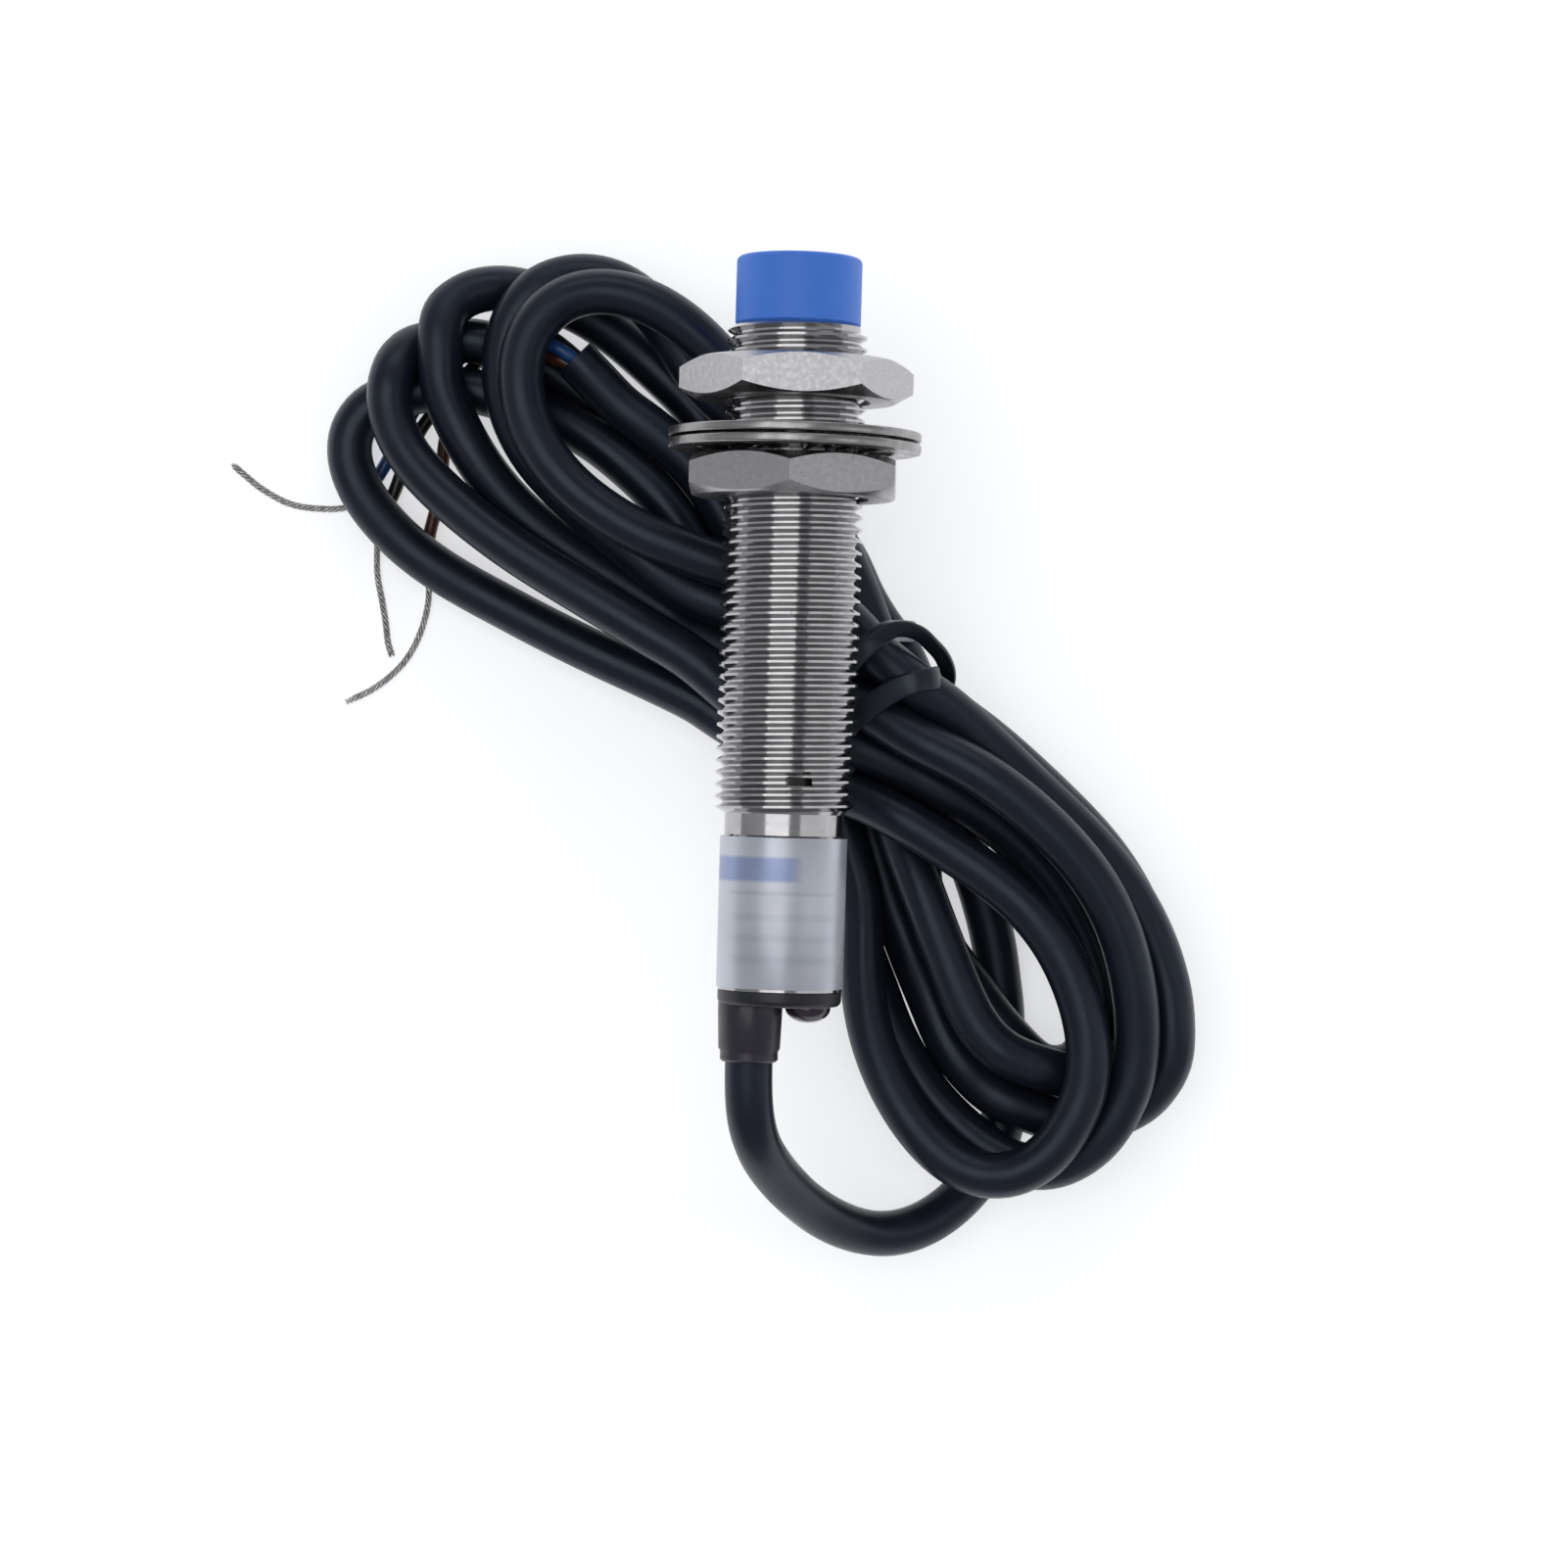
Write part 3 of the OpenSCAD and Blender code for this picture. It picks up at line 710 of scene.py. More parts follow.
@dataclass(frozen=True)
class Turn:
    """One figure-of-eight turn: its upper loop, then its lower loop, as places on the table."""

    upper: tuple[Place, ...]
    lower: tuple[Place, ...]


@dataclass
class Cable:
    """The cable from the strain relief through its five turns to the end of its jacket."""

    diameter: float = 4.0
    spacing: float = 2.0
    contact: float = 4.03
    nut_path: float = 13.3
    rounds: int = 1500
    conductor: float = 1.25
    under: tuple[float, float, float] = (6, -52, -6)
    nut_travel: tuple[float, float] = (-47, -2)
    high: float = 6.5
    hold_high: float = 0.009
    hold_low: float = 0.0015
    hold_open: float = 0.03
    sink: float = 0.012
    stiffness: tuple[tuple[int, float], ...] = ((1, 0.12), (3, 0.05), (6, 0.04))
    lead: tuple[Place, ...] = (
        (-2.4, -67.1, 24), (-2.4, -69.7, 24), (-2.2, -72, 23.5), (-1.5, -74.3, 21.7),
        (-0.2, -76.6, 18.6), (1.7, -79, 14.4), (4.3, -81.2, 10), (7.4, -82.7, 6.1),
        (10.8, -83.2, 3.3), (14, -82.1, 2), (16.6, -80, 2), (18.9, -77, 2))
    under_coil: tuple[Place, ...] = (
        (20.3, -73.7, 2), (20.2, -67.6, 2), (19.9, -63.3, 2), (19.2, -59, 2), (18.3, -55.1, 2),
        (17, -51.3, 2), (15.4, -47.7, 2.2))
    turns: tuple[Turn, ...] = (
        Turn(((10.4, -37, 4.4), (6.6, -28, 6), (4, -22.8, 6.4), (-1, -15.4, 7),
              (-6.6, -7.3, 8), (-10, -4.2, 9), (-13.8, -2.2, 10), (-17, -1.6, 10.6),
              (-20.2, -2.3, 10.9), (-22.7, -4.5, 11), (-23.8, -7.6, 11), (-23.8, -10.3, 10.8),
              (-23.3, -12.5, 10.5), (-21.9, -15.6, 10), (-19.9, -18, 9.6), (-17.5, -20.2, 9.6),
              (-14.1, -22.5, 10.3), (-9.8, -25, 11.6), (-5.5, -27.2, 11.6), (0.5, -30.6, 10.4),
              (8, -34.9, 9.6)),
             ((15.6, -39.2, 8.6), (20.4, -43, 7.6), (24.8, -46.7, 6.6), (29.2, -51.3, 6),
              (32.3, -56.3, 5.8), (33.9, -60.9, 5.6), (34.3, -64.4, 5), (33.5, -67.8, 4),
              (31.6, -70.8, 3), (29, -72.8, 2.4), (26, -73.2, 3), (23, -72.2, 5),
              (20.8, -71.4, 6), (18.6, -70.5, 5.8), (16.7, -69.2, 5), (15.2, -66.9, 4),
              (13.8, -63.7, 3.4), (11.7, -59.2, 3), (9.8, -55, 3), (8.8, -50.6, 4))),
        Turn(((4.4, -39.6, 5), (0.5, -33, 4.6), (-3, -28.6, 3), (-6.4, -25.6, 2),
              (-9.3, -21.6, 2), (-11.7, -17.2, 2), (-14.5, -13.2, 2), (-17.1, -10.9, 2),
              (-20.4, -8.6, 2), (-24.4, -6.6, 2), (-28.4, -5.6, 2.2), (-32.1, -5.7, 3.4),
              (-34.9, -8, 5.4), (-35.7, -10.9, 6), (-34.9, -14.3, 5.2), (-33.2, -16.8, 4.2),
              (-30.9, -19.1, 3.6), (-26.6, -22.6, 3.4), (-22.2, -25.5, 3.6), (-17.7, -28, 4.2),
              (-13.4, -30.4, 5), (-8.9, -32.7, 7.2), (-5, -34.6, 9), (1, -37.6, 9.6),
              (6, -40.2, 9)),
             ((13.3, -43.6, 5), (19, -47.2, 3.6), (23.7, -51.8, 2.6), (26.8, -57.2, 2),
              (28.4, -61.4, 2), (28.2, -65.4, 3), (26.2, -68.2, 5), (23.4, -68.4, 6),
              (21.4, -67.1, 6.2), (19.6, -65.2, 5.8), (17.5, -62.2, 4), (14.3, -58.2, 2.6),
              (11.8, -54.2, 2), (11, -50.4, 2), (11.4, -44.5, 2))),
        Turn(((11, -36.5, 2), (8.3, -30.3, 2), (4.4, -24.3, 2.2), (-1.3, -17, 3),
              (-8.4, -8.9, 4), (-10.9, -4.9, 5), (-14.9, -0.8, 6), (-19.1, 0.1, 6.5),
              (-22.3, -0.9, 6.8), (-24.9, -3.7, 7), (-25.6, -7.9, 7), (-24.8, -12.4, 6.6),
              (-22.6, -16.2, 6.1), (-18.3, -20.3, 5.4), (-14, -23.6, 6.4), (-9.4, -27.2, 8.6),
              (-5, -29.6, 9), (1, -31.8, 7.6), (9, -34.9, 6)),
             ((16.6, -38.9, 4.6), (21.2, -42.6, 3.4), (25.6, -46.4, 2.4), (29.8, -51.2, 2),
              (32.3, -56.3, 2), (33, -61, 2), (32, -65, 2), (29.8, -68.2, 2.4), (27.3, -69.2, 3.8),
              (25, -68.6, 6.2), (22.8, -67.6, 9), (20.4, -67.5, 9.5), (18.2, -65.8, 9),
              (16.2, -62.4, 7.8), (15, -60, 6.9), (13.8, -56.8, 6.2), (12.5, -54.3, 6),
              (11.2, -50.3, 5), (9.4, -46, 3.2))),
        Turn(((6.8, -37, 2), (2.6, -29, 2), (-2.5, -19.5, 2), (-6.5, -13.5, 2.2),
              (-9.6, -10.1, 2.6), (-12.5, -7.7, 2.8), (-15.9, -4.7, 2.6), (-19.7, -2.6, 2.4),
              (-23.2, -1.4, 2.6), (-26.3, -1, 3.6), (-29.6, -1.7, 5), (-31.4, -3.9, 6),
              (-31.6, -6.9, 6.2), (-31.1, -9.8, 6), (-29.8, -12.9, 5.2), (-27.8, -16.2, 4.2),
              (-25.6, -19.3, 3.4), (-22.6, -21.8, 2.8), (-19.4, -24.2, 2.4), (-15, -26.8, 2.8),
              (-9.8, -29.6, 5.4), (-5, -32, 8.8), (1, -34.6, 9.4), (8, -38, 8.8)),
             ((17, -42.5, 9.4), (21.4, -45.9, 9), (25.8, -50.1, 8.6), (28.9, -55.1, 8.4),
              (30.5, -60.2, 8.2), (31.1, -65.3, 8), (30.6, -69.6, 7.4), (28.8, -73.1, 6.8),
              (26.1, -76, 6.2), (23, -77.3, 6), (20, -76.2, 6), (17, -74.2, 5.6),
              (14, -71.2, 5), (11.2, -67.6, 4.8), (9.2, -63.2, 4.6), (8, -58.6, 4.2),
              (6.8, -54, 3.6), (5.6, -48.4, 2.6))),
        Turn(((2.4, -41.5, 2), (-1, -36.5, 2), (-4.5, -31, 2), (-8, -25.4, 2), (-11, -20.3, 2),
              (-14.4, -16.6, 2), (-17.9, -14.2, 2), (-22.7, -11.8, 2), (-28.3, -10.1, 2),
              (-33.3, -9.9, 2), (-37.4, -11.3, 2.3), (-39.6, -14.5, 2.8), (-38.7, -18.1, 3.2),
              (-36.1, -21.9, 3.3), (-31.3, -25.8, 3), (-25.8, -28.7, 2.4), (-20, -31.6, 2.2),
              (-15.6, -33.5, 2.4), (-9.7, -36, 4), (-5, -38.2, 6.6), (0, -41, 8.6),
              (4.5, -43.4, 9)),
             ((8.5, -45.7, 9.4), (16.1, -50.3, 9.6), (20.2, -53.3, 9.4), (23.2, -56.5, 9.2),
              (25.4, -60.6, 9), (26.8, -65.4, 9), (26.7, -69.7, 9.2), (25.1, -73.6, 9.6),
              (22.2, -76.6, 10), (19, -77.7, 10), (16, -76.9, 9.8), (13.3, -74.7, 9.4),
              (10.6, -71.2, 9), (8.6, -66.9, 8.8), (7.5, -62.5, 8.6), (7, -57.5, 8),
              (6.6, -53, 7.4), (4.6, -49.5, 6.4))),
    )
    tail: tuple[Place, ...] = (
        (0.2, -44.6, 5), (-2.6, -38.5, 5.6), (-5, -32.5, 5.8), (-5.8, -26.7, 5.9),
        (-7.6, -20.8, 5.9), (-10.1, -16.4, 6.2), (-13.8, -13, 6.6), (-16.5, -10.1, 7),
        (-19.5, -7.2, 7.5))
    line: np.ndarray = field(init=False)
    held: list[int] = field(default_factory=lambda: [0, 1, 2, 3, 4, 5, -4, -3, -2, -1])

    def __post_init__(self) -> None:
        """Works out the centreline before anything is drawn."""
        self.line = self._settle(self._ease(self._even(self._smooth(self._route()))))

    def _route(self) -> np.ndarray:
        """All the places that the cable passes, in order, in millimetres above the table."""
        places = list(self.lead + self.under_coil)
        for turn in self.turns:
            places += turn.upper + turn.lower
        return np.array(places + list(self.tail), float)

    @staticmethod
    def _smooth(places: np.ndarray, steps: int = 12) -> np.ndarray:
        """Joins places with a centripetal spline.

        Args:
            places: The places, one to a row.
            steps: Points between two places.

        Returns:
            Points along the spline.
        """
        row = np.vstack([2 * places[0] - places[1], places, 2 * places[-1] - places[-2]])
        found = []
        for i in range(1, len(row) - 2):
            p = row[i - 1:i + 3]
            legs = np.linalg.norm(np.diff(p, axis=0), axis=1)
            knot = np.concatenate([[0], np.cumsum(np.sqrt(legs))])
            at = np.linspace(knot[1], knot[2], steps, endpoint=False)[:, None]

            def blend(one: np.ndarray, two: np.ndarray, k: int, n: int) -> np.ndarray:
                """Mixes two curves between the knots k and n."""
                return ((knot[n] - at) * one + (at - knot[k]) * two) / (knot[n] - knot[k])

            lines = [blend(p[k], p[k + 1], k, k + 1) for k in range(3)]
            halves = [blend(lines[k], lines[k + 1], k, k + 2) for k in range(2)]
            found.append(blend(halves[0], halves[1], 1, 2))
        return np.vstack(found + [places[-1:]])

    def _even(self, points: np.ndarray) -> np.ndarray:
        """Spaces points evenly along their line."""
        far = np.concatenate([[0], np.cumsum(np.linalg.norm(np.diff(points, axis=0), axis=1))])
        at = np.linspace(0, far[-1], int(round(far[-1] / self.spacing)) + 1)
        return np.stack([np.interp(at, far, points[:, k]) for k in range(3)], 1)

    def _ease(self, line: np.ndarray, passes: int = 14) -> np.ndarray:
        """Takes small kinks out of a line without shrinking its loops."""
        for share in (0.5, -0.52) * passes:
            line = line + share * self._sag(line, 1)
        return line

    def _settle(self, goal: np.ndarray) -> np.ndarray:
        """Lets the turns settle on the table and on each other without cutting through.

        Each round pulls the line towards its route in plan, lets it sink, keeps it from
        kinking, spaces it evenly, and then pushes crossing turns a diameter apart, up off
        the table and out of the path of the nuts.

        Args:
            goal: Evenly spaced points along the route, in millimetres above the table.

        Returns:
            The settled points.
        """
        line = goal.copy()
        wide, rear, front = self.under
        under = (np.abs(goal[:, 0]) < wide) & (goal[:, 1] > rear) & (goal[:, 1] < front)
        covered = np.where(goal[:, 2] > self.high, self.hold_high, self.hold_low)
        hold = np.where(under, covered, self.hold_open)[:, None]
        own_bend = {}
        for step, _ in self.stiffness:
            own_bend[step] = np.where(under, 0.3, 0.96)[:, None] * self._bend(goal, step)
            own_bend[step][:, 2] = 0
        first, second = np.triu_indices(len(goal), k=6)
        aim = goal.copy()
        for turn in range(self.rounds):
            if turn % 60 == 59:
                miss = np.where(under[:, None], 0, goal - line)
                far = np.linalg.norm(miss[:, :2] + (aim - goal)[:, :2], axis=1, keepdims=True)
                aim += 0.35 * miss * (far < 3.5)
            if turn % 8 == 0:
                gap = line[first] - line[second]
                close = np.einsum("ij,ij->i", gap, gap) < (self.contact + 2.2) ** 2
                a, b = first[close], second[close]
            move = np.zeros_like(line)
            move[:, :2] += hold * (aim[:, :2] - line[:, :2])
            move[:, 2] -= self.sink
            for step, share in self.stiffness:
                move -= share * (self._bend(line, step) - own_bend[step])
            move[:, 2] += 0.05 * self._sag(line, 2)[:, 2]
            leg = line[1:] - line[:-1]
            long = np.linalg.norm(leg, axis=1, keepdims=True)
            slide = 0.25 * (long - long.mean()) / long * leg
            move[:-1] += slide
            move[1:] -= slide
            if turn > self.rounds - 40:
                move *= 0.15
            move[self.held] = 0
            line += move
            for _ in range(2 if turn < self.rounds - 60 else 6):
                self._part(line, a, b)
                self._clear_nuts(line)
        return line

    @staticmethod
    def _sag(line: np.ndarray, step: int) -> np.ndarray:
        """How far each point is from the middle of its neighbours a few steps away."""
        off = np.zeros_like(line)
        off[step:-step] = 0.5 * (line[:-2 * step] + line[2 * step:]) - line[step:-step]
        return off

    def _bend(self, line: np.ndarray, step: int) -> np.ndarray:
        """How the sag changes along the line, which is what stiffness evens out."""
        return self._sag(self._sag(line, step), step)

    def _part(self, line: np.ndarray, a: np.ndarray, b: np.ndarray) -> None:
        """Pushes pairs of points that are closer than a diameter apart, and up off the table."""
        gap = line[a] - line[b]
        far = np.linalg.norm(gap, axis=1)
        touch = far < self.contact
        if touch.any():
            push = gap[touch] / far[touch][:, None] * (0.5 * (self.contact - far[touch]))[:, None]
            total, count = np.zeros_like(line), np.zeros(len(line))
            np.add.at(total, a[touch], push)
            np.add.at(total, b[touch], -push)
            np.add.at(count, a[touch], 1)
            np.add.at(count, b[touch], 1)
            total /= np.maximum(count * 0.6, 1)[:, None]
            total[self.held] = 0
            line += total
        line[:, 2] = np.maximum(line[:, 2], self._ground(line))

    def _ground(self, line: np.ndarray) -> np.ndarray:
        """Lowest height of each point: the table, or the thin conductors that lie on it."""
        over = (line[:, 0] < -25.5) & (line[:, 1] > -28) & (line[:, 1] < -3)
        return self.diameter / 2 + np.where(over, self.conductor, 0.0)

    def _clear_nuts(self, line: np.ndarray) -> None:
        """Keeps the line out of the round path that the nuts and washers travel along."""
        rear, front = self.nut_travel
        inside = (line[:, 1] > rear) & (line[:, 1] < front)
        way = np.stack([line[:, 0], line[:, 2] - AXIS_HEIGHT], 1)
        far = np.linalg.norm(way, axis=1)
        low = inside & (far < self.nut_path)
        out = way[low] / far[low][:, None] * (self.nut_path - far[low])[:, None]
        line[low, 0] += out[:, 0]
        line[low, 2] += out[:, 1]

    def length(self) -> float:
        """Length of the settled centreline, in millimetres."""
        return float(np.linalg.norm(np.diff(self.line, axis=0), axis=1).sum())

    def build(self) -> bpy.types.Object:
        """Draws the jacket along the settled line.

        Returns:
            The cable, a curve of one open spline.
        """
        curve = spline_curve("cable_jacket", [on_table(*p) for p in self.line],
                             self.diameter / 2, 6)
        return place(curve, JACKET, BODY, "cable_lead", "cable_hank_left", "cable_hank_waist",
                     "cable_hank_right")


def spline_curve(name: str, points: list[Vector], radius: float, sides: int
                 ) -> bpy.types.Object:
    """Makes a round cord along points.

    Args:
        name: Name of the object.
        points: Places in metres.
        radius: Radius in millimetres.
        sides: Bevel resolution, a quarter of the facets around.

    Returns:
        The curve object.
    """
    data = bpy.data.curves.new(name, "CURVE")
    data.dimensions = "3D"
    data.bevel_depth = radius * MM
    data.bevel_resolution = sides
    data.use_fill_caps = True
    data.resolution_u = 3
    data.twist_mode = "MINIMUM"
    spline = data.splines.new("NURBS")
    spline.points.add(len(points) - 1)
    for point, where in zip(spline.points, points):
        point.co = (*where, 1.0)
    spline.order_u = 4
    spline.use_endpoint_u = True
    piece = bpy.data.objects.new(name, data)
    bpy.context.scene.collection.objects.link(piece)
    return piece


@dataclass
class Tie:
    """The flat tie: two wraps round the bundle, and the loop where its ends are twisted."""

    cable: Cable
    thickness: float = 0.5
    width: float = 2.0
    slack: float = 0.03
    washer_path: float = 11.0
    loop_width: float = 0.75
    loop_lean: float = 35.0
    loop: tuple[Place, ...] = (
        (5.2, -33.4, 13.95), (6, -32.6, 14.4), (7.8, -31, 14.65), (9.5, -30.4, 14.4),
        (11.1, -30.7, 13.6), (12.3, -31.6, 12.3), (13.3, -32.6, 10.8), (13.9, -33.9, 9),
        (13.8, -35.2, 6.9), (13.2, -36.2, 5.6), (12.4, -36.8, 5))
    wraps: tuple[tuple[tuple[float, float], ...], ...] = (
        ((13.8, -30.3), (11.4, -30.2), (9.6, -30.4), (7.8, -31), (6, -32.6), (3, -35.8),
         (-0.6, -39.8), (-2.6, -44.2)),
        ((16, -33.6), (13.2, -34.4), (10.8, -35), (9.3, -35.6), (7.5, -36.8), (5.9, -38.2),
         (3.4, -41), (1.2, -45)))

    def _crossings(self, plan: np.ndarray) -> np.ndarray:
        """Where the cable passes through an upright curtain, as distance along it and height.

        Args:
            plan: Points of the curtain in plan.

        Returns:
            Rows of (distance, height), in millimetres.
        """
        far = np.concatenate([[0], np.cumsum(np.linalg.norm(np.diff(plan, axis=0), axis=1))])
        found = []
        line = self.cable.line
        for i in range(len(plan) - 1):
            start, way = plan[i], plan[i + 1] - plan[i]
            for p, q in zip(line[:-1], line[1:]):
                step = q[:2] - p[:2]
                cross = way[0] * step[1] - way[1] * step[0]
                if abs(cross) < 1e-9:
                    continue
                gap = p[:2] - start
                s = (gap[0] * step[1] - gap[1] * step[0]) / cross
                t = (gap[0] * way[1] - gap[1] * way[0]) / cross
                if 0 <= s < 1 and 0 <= t < 1:
                    found.append((far[i] + s * (far[i + 1] - far[i]), p[2] + t * (q[2] - p[2])))
        return np.array(found)

    def _outline(self, crossings: np.ndarray) -> list[Vector]:
        """The line that a tight band takes round circles at the crossings.

        Args:
            crossings: Centres of the circles.

        Returns:
            Points of the closed outline.
        """
        reach = self.cable.diameter / 2 + self.thickness / 2 + self.slack
        rim = [Vector((s + reach * math.cos(a), z + reach * math.sin(a)))
               for s, z in crossings for a in np.linspace(0, 2 * math.pi, 20, endpoint=False)]
        rim = [Vector((p.x, max(p.y, self.thickness / 2))) for p in rim]
        rim.sort(key=lambda p: (p.x, p.y))

        def half(points: list[Vector]) -> list[Vector]:
            """One side of the convex hull of sorted points."""
            kept: list[Vector] = []
            for p in points:
                while len(kept) > 1 and (kept[-1] - kept[-2]).cross(p - kept[-2]) <= 0:
                    kept.pop()
                kept.append(p)
            return kept[:-1]

        return half(rim) + half(rim[::-1])

    def _band(self, bm: bmesh.types.BMesh, plan: np.ndarray) -> None:
        """Adds one wrap of the tie to the mesh.

        Args:
            bm: The mesh to add to.
            plan: Points of the wrap's curtain in plan.
        """
        fine = Cable._smooth(np.column_stack([plan, np.zeros(len(plan))]), 10)[:, :2]
        outline = self._outline(self._crossings(fine))
        far = np.concatenate([[0], np.cumsum(np.linalg.norm(np.diff(fine, axis=0), axis=1))])
        loop = evenly(outline, 0.6)
        rows = []
        for i, p in enumerate(loop):
            ahead = loop[(i + 1) % len(loop)] - loop[i - 1]
            out = Vector((ahead.y, -ahead.x)).normalized()
            x, y = (float(np.interp(p.x, far, fine[:, k])) for k in (0, 1))
            on = (np.array([np.interp(p.x + 0.5, far, fine[:, k]) for k in (0, 1)])
                  - np.array([np.interp(p.x - 0.5, far, fine[:, k]) for k in (0, 1)]))
            along = Vector((on[0], on[1], 0)).normalized()
            side = Vector((-along.y, along.x, 0))
            outward = along * out.x + Vector((0, 0, out.y))
            height = min(p.y, self._under_washers(x))
            rows.append(self._section(on_table(x, y, height), side, outward))
        skin(bm, rows, True)

    def _under_washers(self, x: float) -> float:
        """The greatest height at which the washers pass over the tie."""
        return AXIS_HEIGHT - math.sqrt(max(0.0, self.washer_path ** 2 - x ** 2))

    def _section(self, centre: Vector, side: Vector, outward: Vector) -> list[Vector]:
        """The rounded oblong that the flat tie is across, at one place along it."""
        half, thick = self.width / 2, self.thickness / 2
        corners = rounded([(-half, -thick), (half, -thick), (half, thick), (-half, thick)],
                          self.thickness * 0.48, 3)
        return [centre + (side * u + outward * v) * MM for u, v in corners]

    def build(self) -> bpy.types.Object:
        """Builds both wraps and the loop.

        Returns:
            The tie.
        """
        bm = bmesh.new()
        for wrap in self.wraps:
            self._band(bm, np.array(wrap))
        self._loop(bm)
        piece = finish_mesh(bm, "twist_tie", 50)
        return place(piece, TIE_PLASTIC, BODY, Part.TIE.value)

    def _loop(self, bm: bmesh.types.BMesh) -> None:
        """Adds the loop that stands out at the right of the bundle.

        Args:
            bm: The mesh to add to.
        """
        path = [Vector(p) for p in Cable._smooth(np.array(self.loop, float), 6)]
        rows = []
        for i, p in enumerate(path):
            ahead = (path[min(i + 1, len(path) - 1)] - path[max(i - 1, 0)]).normalized()
            side = Vector((0, 0, 1)).cross(ahead).normalized()
            up = ahead.cross(side)
            lean = math.radians(self.loop_lean * math.sin(math.pi * i / (len(path) - 1)))
            flat = side * math.cos(lean) + up * math.sin(lean)
            rows.append(self._section(on_table(*p), flat * self.loop_width, ahead.cross(flat)))
        skin(bm, rows, False)


def evenly(outline: list[Vector], step: float) -> list[Vector]:
    """Spaces points evenly around a closed outline.

    Args:
        outline: The corners of the outline.
        step: Distance between points.

    Returns:
        The spaced points.
    """
    points = np.array([tuple(p) for p in outline + outline[:1]])
    far = np.concatenate([[0], np.cumsum(np.linalg.norm(np.diff(points, axis=0), axis=1))])
    at = np.linspace(0, far[-1], max(8, int(far[-1] / step)), endpoint=False)
    return [Vector((float(np.interp(s, far, points[:, 0])), float(np.interp(s, far, points[:, 1]))))
            for s in at]


def skin(bm: bmesh.types.BMesh, rows: list[list[Vector]], closed: bool) -> None:
    """Covers a row of sections with faces.

    Args:
        bm: The mesh to add to.
        rows: Sections with the same number of points each.
        closed: Whether the last section joins the first. Open ends are filled.
    """
    made = [[bm.verts.new(p) for p in row] for row in rows]
    sides = len(made[0])
    last = len(made) if closed else len(made) - 1
    for i in range(last):
        one, two = made[i], made[(i + 1) % len(made)]
        for k in range(sides):
            n = (k + 1) % sides
            bm.faces.new((one[k], one[n], two[n], two[k]))
    if not closed:
        bm.faces.new(made[0][::-1])
        bm.faces.new(made[-1])


@dataclass
class Conductor:
    """One insulated conductor of the cable with its bare, tinned strands."""

    name: str
    finish: Finish
    route: tuple[Place, ...]
    bare: tuple[Place, ...]
    bare_node: str | None = None
    diameter: float = 1.2
    strand: float = 0.22
    strands: int = 6
    strand_lay: float = 0.19
    strand_turn: float = 3.2

    def build(self) -> bpy.types.Object:
        """Returns:
            The insulated part.
        """
        line = Cable._smooth(np.array(self.route, float), 4)
        wire = spline_curve(self.name, [mm(*p) for p in line], self.diameter / 2, 4)
        place(wire, self.finish, BODY, self.name)
        strands = self._strands()
        return wire

    def _strands(self) -> bpy.types.Object:
        """Twists the tinned strands round their own line.

        Returns:
            The strands, as one piece.
        """
        line = Cable._smooth(np.array(self.bare, float), 8)
        far = np.concatenate([[0], np.cumsum(np.linalg.norm(np.diff(line, axis=0), axis=1))])
        bm = bmesh.new()
        for k in range(self.strands):
            rows = []
            cut = len(line) - (k % 3)
            for i in range(cut):
                ahead = Vector(line[min(i + 1, len(line) - 1)] - line[max(i - 1, 0)]).normalized()
                side = ahead.cross(Vector((0, 0, 1))).normalized()
                up = side.cross(ahead)
                turn = 2 * math.pi * (k / self.strands + far[i] / self.strand_turn)
                arm = side * math.cos(turn) + up * math.sin(turn)
                centre = Vector(line[i]) + arm * self.strand_lay
                centre.z = max(centre.z, self.strand / 2 - AXIS_HEIGHT)
                rows.append([
                    (centre + (side * math.cos(a) + up * math.sin(a)) * self.strand / 2) * MM
                    for a in (2 * math.pi * n / 6 for n in range(6))])
            skin(bm, rows, False)
        piece = finish_mesh(bm, self.name.replace("wire", "strands"), 60)
        nodes = [self.bare_node] if self.bare_node else []
        return place(piece, TINNED, BODY, *nodes)


